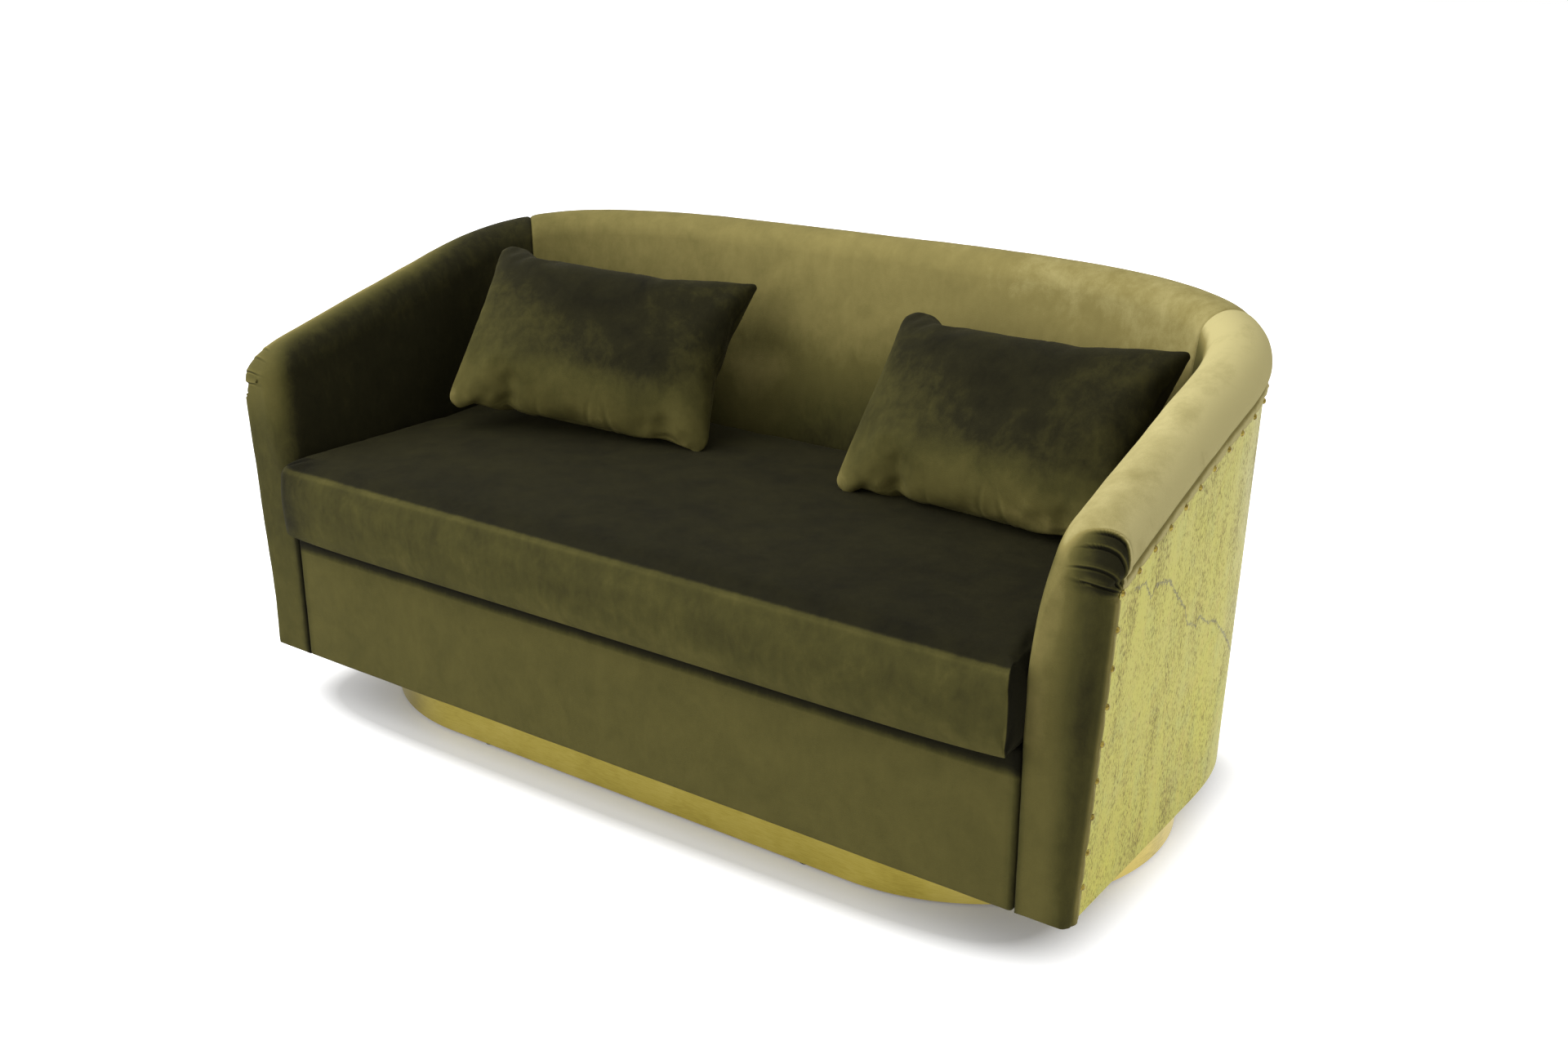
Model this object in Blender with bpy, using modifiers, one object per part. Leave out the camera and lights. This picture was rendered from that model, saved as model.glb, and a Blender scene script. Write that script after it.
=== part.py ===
"""Two-seater tub sofa: brass-clad plywood tub, velvet upholstery, loose cushion and two pillows.

Metres, +Z up. The front faces -Y and +X is to the right as seen from the front. The origin is on
the floor, under the middle of the sofa's box. Plan sizes in depth are measured from the arm fronts.
"""

import math

import bmesh
import bpy
from mathutils import Euler, Vector
from mathutils.bvhtree import BVHTree

# Plan of the tub, and of the rim as set in from the foot of the brass
BODY_HALF_WIDTH = 0.764     # outside of the brass at the foot of the sides
BODY_DEPTH = 0.757          # arm fronts to the outside of the brass at the foot of the back
ARM_THICKNESS = 0.074       # at the seat deck, from the foot of the brass to the velvet
BACK_THICKNESS = 0.157
RIM_INSET_FRONT = 0.012     # centre line of the velvet roll, at the arm fronts
RIM_INSET_REAR = 0.022      # at the ends of the arms' straight runs
RIM_INSET_BACK = 0.049      # at the middle of the back
SIDE_RUN = 0.363            # straight run of each arm
REAR_SQUARENESS = 3.62      # exponent of the rear curve: 2 is an ellipse, more is squarer
SEAM_ANGLE = 30.0           # place of the velvet seams on the rear curve, in degrees

# Rim roll and its rise from the arm fronts to the back
ROLL_RADIUS = 0.047
ROLL_PROUD = 0.006          # how far the roll stands out from the brass
ROLL_TUCK = 0.020           # from the roll's centre down to where it meets the flat lip
LIP_DROP = 0.034            # from the roll's centre down to the lip's foot, the edge of the brass
LIP_PROUD = 0.0027          # how far the lip stands out from the brass
RIM_FRONT_HEIGHT = 0.571    # height of the roll's centre at the arm fronts
RIM_SLOPE = 0.288
RIM_CREST = 0.7985          # height towards which the rim levels off at the back
RIM_BLEND = 0.055           # how gradually it levels off

# Padding
FRONT_PAD = 0.034           # padding and velvet on the arm fronts and the apron
ARM_OUTER_EDGE = 0.030      # rounding of the arm fronts' outer edges
ARM_INNER_EDGE = 0.014      # and of their inner edges
ARM_NOSE_DROP = 0.034       # rounding of the roll's front end, measured down
ARM_NOSE_DEPTH = 0.052      # and measured back
PAD_SWELL = 0.006           # swell of the padding on the inner faces
APRON_EDGE = 0.006

# Layers of the wall, from the outside in
BRASS = 0.0015
PANEL = 0.012
FRAME_TIMBER = 0.028
PANEL_DROP = 0.004          # top of the panel and rail, below the roll's centre
TOP_RAIL_HEIGHT = 0.045
POST_WIDTH = 0.045
SIDE_POST_INSET = 0.063     # middle of the side post, from the end of the straight run
REAR_POST_ANGLE = 60.0      # place of the rear posts on the rear curve, in degrees

# Plinth
PLINTH_FRONT_SETBACK = 0.055  # from the arm fronts
PLINTH_BACK_SETBACK = 0.044   # from the foot of the brass
PLINTH_END_SETBACK = 0.035
PLINTH_HEIGHT = 0.0885
PLINTH_WALL = 0.022
PLINTH_CROSS_PLACE = 0.240
GLIDE_RADIUS = 0.010
GLIDE_HEIGHT = 0.003
GLIDE_INSET = 0.080         # the four long-side glides, from the ends of the straight sides

# Base and seat platform
DUST_COVER = 0.001
BASE_BOARD = 0.015
BOARD_CLEARANCE = 0.0008
SEAT_RAIL = 0.025
SEAT_RAIL_HEIGHT = 0.190
SEAT_RAIL_INSET = 0.070     # from the arms' inner faces to the outside of the side rails
CORNER_BLOCK = 0.060
CORNER_BLOCK_HEIGHT = 0.040
CORNER_BLOCK_DROP = 0.015
SPRING_COUNT = 7
SPRING_WIRE = 0.004
SPRING_HALF_WIDTH = 0.024
SPRING_PITCH = 0.066
SPRING_EDGE = 0.070         # from the side rails to the middle of the outer springs
DECK = 0.022
DECK_CLEARANCE = 0.002

# Loose cushion and pillows
CUSHION_HEIGHT = 0.122
CUSHION_CROWN = 0.011
CUSHION_EDGE = 0.016
CUSHION_OVERHANG = 0.037    # how far the cushion stands out past the arm fronts
CUSHION_CLEARANCE = 0.003
CUSHION_DRAW = 0.004        # how far its sides are drawn in between the corners
PILLOW_WIDTH = 0.490
PILLOW_HEIGHT = 0.320
PILLOW_THICKNESS = 0.135
PILLOW_SEAM = 0.004
PILLOW_DRAW = 0.055         # share by which its sides are drawn in between the corners
PILLOW_CLEARANCE = 0.0006
LEFT_PILLOW_INSET = 0.324   # from the arm's inner face to the pillow's middle
LEFT_PILLOW_SETBACK = 0.174   # from the back's face to the pillow's middle
LEFT_PILLOW_TURN = 20.0     # degrees
LEFT_PILLOW_LEAN = 39.0
LEFT_PILLOW_ROLL = -6.0
RIGHT_PILLOW_INSET = 0.282
RIGHT_PILLOW_SETBACK = 0.148
RIGHT_PILLOW_TURN = -4.5
RIGHT_PILLOW_LEAN = 39.0
RIGHT_PILLOW_ROLL = 1.2

# Clearance between touching pieces, and the gap along a sewn or butted seam
GAP = 0.0003
SEAM_GAP = 0.0008
CREST_CLEARANCE = 0.0009    # between the curved tops of panel and rail and the upholstery

# Facets
CORNER_STEP = 7.5           # degrees on the rear curve
SIDE_STEP = 0.060           # spacing of sections along the arms
ROLL_STEPS = 10
FACE_STEPS = 4
FRONT_STEPS = 5             # sections in the padded arm fronts
SHARP_ANGLE = 40.0          # degrees between facets that stay a sharp edge
PLINTH_ARC_STEPS = 24
GLIDE_SIDES = 16
SPRING_POINTS = 6           # points in each wave
CUSHION_CELLS = (14, 9)
PILLOW_CELLS = (16, 10)

# Worked out from the sizes above
FRONT_Y = -(BODY_DEPTH - CUSHION_OVERHANG) / 2
SEAT_HALF_WIDTH = BODY_HALF_WIDTH - ARM_THICKNESS
SEAT_DEPTH = BODY_DEPTH - BACK_THICKNESS
RIM_HALF_WIDTH_FRONT = BODY_HALF_WIDTH - RIM_INSET_FRONT
RIM_HALF_WIDTH_REAR = BODY_HALF_WIDTH - RIM_INSET_REAR
BACK_RIM_Y = BODY_DEPTH - RIM_INSET_BACK
REAR_DEPTH = BACK_RIM_Y - SIDE_RUN
BODY_Z = GLIDE_HEIGHT + PLINTH_HEIGHT
BOARD_Z = BODY_Z + DUST_COVER + GAP
BOARD_TOP = BOARD_Z + BASE_BOARD
FRAME_Z = BOARD_TOP + GAP
RAIL_TOP = FRAME_Z + SEAT_RAIL_HEIGHT
SPRING_Z = RAIL_TOP + GAP + SPRING_WIRE / 2
DECK_Z = SPRING_Z + SPRING_WIRE / 2 + GAP
DECK_TOP = DECK_Z + DECK
CUSHION_Z = DECK_TOP + GAP
PANEL_DEPTH = BRASS + GAP
FRAME_DEPTH = PANEL_DEPTH + PANEL + GAP
CAVITY_DEPTH = FRAME_DEPTH + FRAME_TIMBER + GAP
FRAME_FRONT = FRONT_PAD + GAP
PLINTH_HALF_LENGTH = BODY_HALF_WIDTH - PLINTH_END_SETBACK
PLINTH_HALF_DEPTH = (BODY_DEPTH - PLINTH_FRONT_SETBACK - PLINTH_BACK_SETBACK) / 2
PLINTH_Y = FRONT_Y + PLINTH_FRONT_SETBACK + PLINTH_HALF_DEPTH


# Scene, materials and pieces

def clear_scene():
    for old in list(bpy.data.objects):
        bpy.data.objects.remove(old, do_unlink=True)


def make_material(name, color, metallic, roughness):
    material = bpy.data.materials.new(name)
    material.use_nodes = True
    shader = material.node_tree.nodes["Principled BSDF"]
    shader.inputs["Base Color"].default_value = (*color, 1.0)
    shader.inputs["Metallic"].default_value = metallic
    shader.inputs["Roughness"].default_value = roughness
    return material


def add_object(name, data, material):
    piece = bpy.data.objects.new(name, data)
    data.materials.append(material)
    SOFA.objects.link(piece)
    return piece


def add_mesh(name, bm, material, smooth=False):
    bmesh.ops.recalc_face_normals(bm, faces=bm.faces[:])
    mesh = bpy.data.meshes.new(name)
    bm.to_mesh(mesh)
    bm.free()
    if smooth:
        mesh.shade_smooth()
        mesh.set_sharp_from_angle(angle=math.radians(SHARP_ANGLE))
    return add_object(name, mesh, material)


def add_box(name, low, high, material):
    """A board between two corners."""
    bm = bmesh.new()
    bmesh.ops.create_cube(bm, size=1.0)
    low, high = Vector(low), Vector(high)
    bmesh.ops.scale(bm, vec=high - low, verts=bm.verts)
    bmesh.ops.translate(bm, vec=(low + high) / 2, verts=bm.verts)
    return add_mesh(name, bm, material)


def add_plate(name, outlines, bottom, top, material):
    """A flat plate from closed outlines: the first is its edge, the others are holes."""
    curve = bpy.data.curves.new(name, "CURVE")
    curve.dimensions = "2D"
    curve.fill_mode = "BOTH"
    curve.extrude = (top - bottom) / 2
    for outline in outlines:
        spline = curve.splines.new("POLY")
        spline.points.add(len(outline) - 1)
        for point, (x, y) in zip(spline.points, outline):
            point.co = (x, y, 0, 1)
        spline.use_cyclic_u = True
    plate = add_object(name, curve, material)
    plate.location.z = (bottom + top) / 2
    return plate


# The tub wall: every layer is an offset of the rim's centre line, at the same sections

def rim_half_width(u):
    """The arms draw in a little from their fronts to the rear curve."""
    along = min(2 - abs(u), 1)
    return RIM_HALF_WIDTH_FRONT + (RIM_HALF_WIDTH_REAR - RIM_HALF_WIDTH_FRONT) * along


def rim_station(u):
    """Point and outward normal on the rim: u is 0 at the middle of the back, 1 where the right
    arm's straight run ends and 2 at its front; the left side is negative."""
    side = math.copysign(1.0, u)
    along = 2 - abs(u)
    x = rim_half_width(u)
    if along <= 1:
        y = SIDE_RUN * along
        normal = Vector((1, 0))
    else:
        angle = (along - 1) * math.pi / 2
        power = 2 / REAR_SQUARENESS
        x *= math.cos(angle) ** power
        y = SIDE_RUN + REAR_DEPTH * math.sin(angle) ** power
        normal = Vector((math.cos(angle) ** (2 - power) / RIM_HALF_WIDTH_REAR,
                         math.sin(angle) ** (2 - power) / REAR_DEPTH)).normalized()
    return Vector((side * x, FRONT_Y + y)), Vector((side * normal.x, normal.y))


def rim_height(u):
    """Height of the roll's centre: it climbs along the arms and levels off round the back."""
    y = rim_station(u)[0].y - FRONT_Y
    climb = RIM_FRONT_HEIGHT + RIM_SLOPE * y
    return -RIM_BLEND * math.log(math.exp(-climb / RIM_BLEND) + math.exp(-RIM_CREST / RIM_BLEND))


def mixed(u, at_side, at_back):
    """A distance from the rim's centre line that changes from the sides to the back."""
    normal = rim_station(u)[1]
    return at_side * normal.x ** 2 + at_back * normal.y ** 2


def brass_offset(u, z):
    """Outside of the brass, outward from the rim's centre line: it leans from foot to rim."""
    foot = mixed(u, BODY_HALF_WIDTH - rim_half_width(u), BODY_DEPTH - BACK_RIM_Y)
    rim = ROLL_RADIUS - ROLL_PROUD
    return foot + (rim - foot) * (z - BODY_Z) / (rim_height(u) - BODY_Z)


def face_offset(u, z):
    """Inner face of the upholstery, inward from the rim's centre line."""
    foot = mixed(u, rim_half_width(u) - SEAT_HALF_WIDTH, BACK_RIM_Y - SEAT_DEPTH)
    return foot + (ROLL_RADIUS - foot) * (z - DECK_Z) / (rim_height(u) - DECK_Z)


def wall_point(u, offset, z):
    point, normal = rim_station(u)
    plan = point + normal * offset
    return Vector((plan.x, plan.y, z))


def panel_top(u):
    return rim_height(u) - PANEL_DROP


def rail_bottom(u):
    return panel_top(u) - TOP_RAIL_HEIGHT


def brass_edge(u):
    return rim_height(u) - LIP_DROP


def wall_levels(u, low, high):
    """Heights that every layer shares, so that neighbouring layers bend along the same lines."""
    shared = sorted((BOARD_TOP, DECK_Z, rail_bottom(u), brass_edge(u), panel_top(u)))
    return [low] + [z for z in shared if low + 2 * GAP < z < high - 2 * GAP] + [high]


def u_along(y):
    """Place on the right arm at a distance behind the arm front."""
    return 2 - y / SIDE_RUN


def u_angle(degrees):
    """Place on the right half of the rear curve."""
    return 1 - degrees / 90


def u_shift(u, distance):
    """Change of u that covers a distance along the rim."""
    step = 0.001
    travel = (rim_station(u + step)[0] - rim_station(u - step)[0]).length / (2 * step)
    return distance / travel


def span(u, width):
    half = u_shift(u, width / 2)
    return u - half, u + half


def build_grid():
    """Sections shared by all the layers, from the left arm front to the right."""
    right = [u_angle(CORNER_STEP * k) for k in range(int(90 / CORNER_STEP))]
    count = max(2, round((SIDE_RUN - FRAME_FRONT) / SIDE_STEP))
    right += [u_along(FRAME_FRONT + (SIDE_RUN - FRAME_FRONT) * k / count) for k in range(count)]
    for place in POST_PLACES.values():
        if place >= 0:
            right += [u for u in span(place, POST_WIDTH) if u > 0]
    right += span(u_angle(SEAM_ANGLE), SEAM_GAP)
    return sorted([-u for u in right] + [0.0] + right)


def between(low, high):
    return [low] + [u for u in GRID if low + 1e-6 < u < high - 1e-6] + [high]


def skin_faces(bm, rows, closed):
    """Join rows of vertices, given from left to right round the tub.

    Every quad is split from the lower, or else the outer, corner of one row to the opposite
    corner of the next, so that neighbouring layers have matching facets.
    """
    def rank(vert):
        return round(vert.co.z, 6), -vert.co.xy.length

    for near, far in zip(rows, rows[1:]):
        count = len(near)
        for i in range(count if closed else count - 1):
            k = (i + 1) % count
            low, high = (i, k) if rank(near[i]) <= rank(near[k]) else (k, i)
            bm.faces.new((near[low], near[high], far[high]))
            bm.faces.new((near[low], far[high], far[low]))


def loft(name, rings, material, smooth=False):
    """A closed body through rings of the same number of points."""
    bm = bmesh.new()
    rows = [[bm.verts.new(point) for point in ring] for ring in rings]
    skin_faces(bm, rows, closed=True)
    bm.faces.new(rows[0])
    bm.faces.new(rows[-1])
    return add_mesh(name, bm, material, smooth)


def add_layer(name, low_u, high_u, outer, inner, bottom, top, material):
    """One layer of the wall between two depths behind the brass face and two heights."""
    rings = []
    for u in between(low_u, high_u):
        levels = wall_levels(u, bottom(u), top(u))
        outside = [wall_point(u, brass_offset(u, z) - outer, z) for z in levels]
        inside = [wall_point(u, brass_offset(u, z) - inner, z) for z in reversed(levels)]
        rings.append(outside + inside)
    return loft(name, rings, material, smooth=True)


# Upholstery

def nose(y, drop, depth):
    """Inset of a rounded front edge at a distance behind the arm front."""
    if y >= depth:
        return 0.0
    return drop * (1 - math.sqrt(1 - (1 - y / depth) ** 2))


def velvet_profile(u):
    """Visible section of the upholstery: from the brass edge up the lip, over the roll and down to
    the deck."""
    centre = rim_height(u)
    y = (2 - abs(u)) * SIDE_RUN
    start = -math.asin(ROLL_TUCK / ROLL_RADIUS)
    outer = nose(y, ARM_OUTER_EDGE, ARM_OUTER_EDGE)
    inner = nose(y, ARM_INNER_EDGE, ARM_INNER_EDGE)
    top = nose(y, ARM_NOSE_DROP, ARM_NOSE_DEPTH)
    edge = brass_edge(u)
    profile = [(brass_offset(u, edge) + LIP_PROUD - outer, edge)]
    for k in range(ROLL_STEPS + 1):
        angle = start + (math.pi - start) * k / ROLL_STEPS
        top_share = max(0.0, math.sin(angle)) ** 2
        side = inner + (outer - inner) * (1 + math.cos(angle)) / 2
        radius = ROLL_RADIUS - side - (top - side) * top_share
        profile.append((radius * math.cos(angle), centre + radius * math.sin(angle)))
    for k in range(1, FACE_STEPS + 1):
        z = centre + (DECK_Z - centre) * k / FACE_STEPS
        swell = PAD_SWELL * math.sin(math.pi * k / FACE_STEPS)
        profile.append((-face_offset(u, z) - swell + inner, z))
    return [wall_point(u, offset, z) for offset, z in profile]


def cavity_profile(u):
    """Section where the upholstery hooks over the panel and the top rail, from the deck up."""
    crest = panel_top(u) + CREST_CLEARANCE
    inside = [(CAVITY_DEPTH, z) for z in wall_levels(u, DECK_Z, crest)]
    hooked = inside + [(BRASS, crest), (BRASS, brass_edge(u))]
    return [wall_point(u, brass_offset(u, z) - depth, z) for depth, z in hooked]


def front_foot(u):
    """Foot of the padded arm front, from its inner to its outer corner."""
    y = (2 - abs(u)) * SIDE_RUN
    inner = -face_offset(u, DECK_Z) + nose(y, ARM_INNER_EDGE, ARM_INNER_EDGE)
    outer = brass_offset(u, BODY_Z) + LIP_PROUD - nose(y, ARM_OUTER_EDGE, ARM_OUTER_EDGE)
    return [wall_point(u, inner, BODY_Z), wall_point(u, outer, BODY_Z)]


def add_arm_upholstery(name, side, material):
    """Padding over one arm and round its front, down to the foot."""
    front = [side * u_along(FRONT_PAD * (k / FRONT_STEPS) ** 1.5) for k in range(FRONT_STEPS + 1)]
    seam = u_angle(SEAM_ANGLE) + u_shift(u_angle(SEAM_ANGLE), SEAM_GAP / 2)
    wall = between(seam, u_along(FRONT_PAD))
    wall = [side * u for u in reversed(wall)]
    bm = bmesh.new()

    def row(points):
        return [bm.verts.new(point) for point in points]

    velvet = [row(velvet_profile(u)) for u in front + wall[1:]]
    feet = [row(front_foot(u)) for u in front]
    hooks = [row(cavity_profile(u)) for u in wall]
    front_rows = velvet[:len(front)]
    wall_rows = velvet[len(front) - 1:]
    feet_rows = [[v[-1]] + f + [v[0]] for v, f in zip(front_rows, feet)]
    hook_rows = [[v[-1]] + h + [v[0]] for v, h in zip(wall_rows, hooks)]
    for rows in (velvet, feet_rows, hook_rows):
        skin_faces(bm, rows if side < 0 else rows[::-1], closed=False)
    bm.faces.new(velvet[0] + feet[0])
    bm.faces.new([wall_rows[0][-1]] + feet[-1] + [wall_rows[0][0]] + hooks[0][::-1])
    bm.faces.new(wall_rows[-1] + hooks[-1])
    return add_mesh(name, bm, material, smooth=True)


def add_back_upholstery(name, material):
    seam = u_angle(SEAM_ANGLE) - u_shift(u_angle(SEAM_ANGLE), SEAM_GAP / 2)
    rings = [velvet_profile(u) + cavity_profile(u) for u in between(-seam, seam)]
    return loft(name, rings, material, smooth=True)


def add_apron(material):
    half = SEAT_HALF_WIDTH - DECK_CLEARANCE / 2
    apron = add_box("front_apron", (-half, FRONT_Y, BODY_Z), (half, FRONT_Y + FRONT_PAD, DECK_TOP),
                    material)
    bevel = apron.modifiers.new("soft edges", "BEVEL")
    bevel.width = APRON_EDGE
    bevel.segments = 2


# Plinth

def stadium(half_length, half_depth):
    """Outline with straight long sides and half-round ends."""
    points = []
    for side in (1, -1):
        for k in range(PLINTH_ARC_STEPS + 1):
            angle = -math.pi / 2 + math.pi * k / PLINTH_ARC_STEPS
            x = half_length - half_depth + half_depth * math.cos(angle)
            points.append((side * x, PLINTH_Y + side * half_depth * math.sin(angle)))
    return points


def inset_stadium(inset):
    return stadium(PLINTH_HALF_LENGTH - inset, PLINTH_HALF_DEPTH - inset)


def add_plinth(brass, plywood, plastic):
    bottom = GLIDE_HEIGHT + GAP
    top = BODY_Z - GAP
    frame_inset = BRASS + GAP
    wall_inset = frame_inset + PLINTH_WALL
    add_plate("plinth_skirt", [inset_stadium(0), inset_stadium(BRASS)], bottom, top, brass)
    add_plate("plinth_frame", [inset_stadium(frame_inset), inset_stadium(wall_inset)], bottom, top,
              plywood)
    reach = PLINTH_HALF_DEPTH - wall_inset - GAP
    for name, x in (("plinth_cross_left", -PLINTH_CROSS_PLACE), ("plinth_cross_right", PLINTH_CROSS_PLACE)):
        add_box(name, (x - PLINTH_WALL / 2, PLINTH_Y - reach, bottom),
                (x + PLINTH_WALL / 2, PLINTH_Y + reach, top), plywood)
    middle = frame_inset + PLINTH_WALL / 2
    across = PLINTH_HALF_DEPTH - middle
    end = PLINTH_HALF_LENGTH - middle
    along = PLINTH_HALF_LENGTH - PLINTH_HALF_DEPTH - GLIDE_INSET
    places = [(-along, -across), (along, -across), (end, 0), (along, across), (-along, across), (-end, 0)]
    for number, (x, y) in enumerate(places, start=1):
        bm = bmesh.new()
        bmesh.ops.create_cone(bm, cap_ends=True, segments=GLIDE_SIDES, radius1=GLIDE_RADIUS,
                              radius2=GLIDE_RADIUS, depth=GLIDE_HEIGHT)
        glide = add_mesh(f"glide_{number}", bm, plastic, smooth=True)
        glide.location = (x, PLINTH_Y + y, GLIDE_HEIGHT / 2)


# Base, frame and seat platform

def board_outline():
    """Plan inside the tub's panels, closed by a straight front edge."""
    depth = FRAME_DEPTH + BOARD_CLEARANCE
    points = []
    for u in between(-u_along(FRAME_FRONT), u_along(FRAME_FRONT)):
        offset = min(brass_offset(u, BODY_Z), brass_offset(u, BOARD_TOP)) - depth
        points.append(wall_point(u, offset, 0).xy)
    return points


def seat_plan(u, clearance):
    """Plan of the seat inside the upholstery at the deck."""
    return wall_point(u, -face_offset(u, DECK_Z) - clearance, 0).xy


def add_wall(brass, plywood, timber):
    front = u_along(FRAME_FRONT)
    seam = u_angle(SEAM_ANGLE)
    half_gap = u_shift(seam, SEAM_GAP / 2)

    def foot(u):
        return BODY_Z

    def brass_top(u):
        return brass_edge(u) - GAP

    for name, low, high in (("left_cladding", -front, -seam - half_gap),
                            ("back_cladding", -seam + half_gap, seam - half_gap),
                            ("right_cladding", seam + half_gap, front)):
        add_layer(name, low, high, 0, BRASS, foot, brass_top, brass)

    butt = u_shift(1.5, SEAM_GAP)
    for panel, rail, low, high in (("left_side_panel", "left_arm_rail", -front, -1 - butt),
                                   ("back_panel", "back_top_rail", -1, 1),
                                   ("right_side_panel", "right_arm_rail", 1 + butt, front)):
        add_layer(panel, low, high, PANEL_DEPTH, PANEL_DEPTH + PANEL, foot, panel_top, plywood)
        add_layer(rail, low, high, FRAME_DEPTH, FRAME_DEPTH + FRAME_TIMBER, rail_bottom, panel_top,
                  timber)

    def post_top(u):
        return rail_bottom(u) - GAP

    for name, place in POST_PLACES.items():
        low, high = span(place, POST_WIDTH)
        add_layer(name, low, high, FRAME_DEPTH, FRAME_DEPTH + FRAME_TIMBER, lambda u: FRAME_Z, post_top,
                  timber)


def add_seat_box(timber):
    """Four rails that carry the springs, with a glued block in each corner."""
    outer_x = SEAT_HALF_WIDTH - SEAT_RAIL_INSET
    front = FRONT_Y + FRAME_FRONT
    rear = FRONT_Y + SEAT_DEPTH
    inner_front = front + SEAT_RAIL
    inner_rear = rear - SEAT_RAIL
    front_half = SEAT_HALF_WIDTH - DECK_CLEARANCE
    add_box("front_rail", (-front_half, front, FRAME_Z), (front_half, inner_front, RAIL_TOP), timber)
    add_box("rear_rail", (-outer_x, inner_rear, FRAME_Z), (outer_x, rear, RAIL_TOP), timber)
    inner_x = outer_x - SEAT_RAIL
    for name, low_x in (("left_seat_rail", -outer_x), ("right_seat_rail", inner_x)):
        add_box(name, (low_x, inner_front + GAP, FRAME_Z), (low_x + SEAT_RAIL, inner_rear - GAP, RAIL_TOP),
                timber)
    block_top = RAIL_TOP - CORNER_BLOCK_DROP
    corners = ((-1, inner_front + GAP, 1), (1, inner_front + GAP, 1),
               (1, inner_rear - GAP, -1), (-1, inner_rear - GAP, -1))
    for number, (side, y, way) in enumerate(corners, start=1):
        x = side * (inner_x - GAP)
        outline = [(x, y), (x - side * CORNER_BLOCK, y), (x, y + way * CORNER_BLOCK)]
        add_plate(f"corner_block_{number}", [outline], block_top - CORNER_BLOCK_HEIGHT, block_top, timber)


def add_springs(steel):
    """Sinuous springs from the front rail to the rear rail."""
    start = FRONT_Y + FRAME_FRONT + SEAT_RAIL / 2
    end = FRONT_Y + SEAT_DEPTH - SEAT_RAIL / 2
    waves = max(1, round((end - start) / SPRING_PITCH))
    reach = SEAT_HALF_WIDTH - SEAT_RAIL_INSET - SEAT_RAIL - SPRING_EDGE
    for number in range(1, SPRING_COUNT + 1):
        curve = bpy.data.curves.new(f"spring_{number}", "CURVE")
        curve.dimensions = "3D"
        curve.bevel_depth = SPRING_WIRE / 2
        curve.bevel_resolution = 1
        curve.use_fill_caps = True
        spline = curve.splines.new("POLY")
        count = waves * SPRING_POINTS
        spline.points.add(count)
        for k, point in enumerate(spline.points):
            swing = 2 * math.pi * k / SPRING_POINTS
            y = start + (end - start) * k / count
            point.co = (SPRING_HALF_WIDTH * math.cos(swing), y, 0, 1)
        spring = add_object(curve.name, curve, steel)
        share = (number - 1) / max(1, SPRING_COUNT - 1)
        spring.location = (-reach + 2 * reach * share, 0, SPRING_Z)


def add_deck(felt):
    rear = [seat_plan(u, DECK_CLEARANCE) for u in between(-u_along(FRAME_FRONT), u_along(FRAME_FRONT))]
    add_plate("seat_deck", [rear], DECK_Z, DECK_TOP, felt)


# Loose cushion and pillows

def cushion_edge(across, along):
    """Plan outline of the cushion at a point on the edge of the unit square."""
    corner = u_angle(SEAM_ANGLE)
    front_y = FRONT_Y - CUSHION_OVERHANG
    draw = CUSHION_DRAW
    if along <= -1:
        half = abs(seat_plan(2, CUSHION_CLEARANCE).x)
        return Vector((half * across, front_y + draw * (1 - across ** 2)))
    if along >= 1:
        edge = seat_plan(corner * across, CUSHION_CLEARANCE)
        return Vector((edge.x, edge.y - draw * (1 - across ** 2)))
    side = math.copysign(1.0, across)
    straight = SIDE_RUN + CUSHION_OVERHANG
    bend = (rim_station(corner)[0] - rim_station(1)[0]).length
    travel = (along + 1) / 2 * (straight + bend)
    if travel < straight:
        edge = Vector((side * abs(seat_plan(2, CUSHION_CLEARANCE).x), front_y + travel))
    else:
        edge = seat_plan(side * (1 - (1 - corner) * (travel - straight) / bend), CUSHION_CLEARANCE)
    return Vector((edge.x - side * draw * (1 - along ** 2), edge.y))


def add_cushion(velvet):
    """Box cushion: flat below, crowned above, with rounded edges and drawn-in sides."""
    quarter = CUSHION_EDGE * (1 - math.sqrt(0.5))
    sides = ((CUSHION_EDGE, 0), (quarter, quarter), (0, CUSHION_EDGE),
             (0, CUSHION_HEIGHT - CUSHION_EDGE), (quarter, CUSHION_HEIGHT - quarter),
             (CUSHION_EDGE, CUSHION_HEIGHT))
    bm = bmesh.new()
    bmesh.ops.create_grid(bm, x_segments=CUSHION_CELLS[0], y_segments=CUSHION_CELLS[1], size=1.0)
    raised = bmesh.ops.extrude_face_region(bm, geom=bm.faces[:])
    top = [item for item in raised["geom"] if isinstance(item, bmesh.types.BMVert)]
    bmesh.ops.translate(bm, vec=(0, 0, 1), verts=top)
    upright = [edge for edge in bm.edges if abs(edge.verts[0].co.z - edge.verts[1].co.z) > 0.5]
    bmesh.ops.subdivide_edges(bm, edges=upright, cuts=len(sides) - 2, use_grid_fill=True)
    centre = Vector((0, FRONT_Y + SEAT_DEPTH / 2))
    for vert in bm.verts:
        inset, height = sides[round(vert.co.z * (len(sides) - 1))]
        ring = max(abs(vert.co.x), abs(vert.co.y))
        plan = centre
        if ring > 0:
            reach = cushion_edge(vert.co.x / ring, vert.co.y / ring) - centre
            plan = centre + reach * (1 - inset / reach.length) * ring
        if vert.co.z > 0.99:
            height += CUSHION_CROWN * (1 - ring ** 2)
        vert.co = (plan.x, plan.y - centre.y, height)
    cushion = add_mesh("seat_cushion", bm, velvet, smooth=True)
    cushion.location = (0, centre.y, CUSHION_Z)
    return cushion


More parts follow.
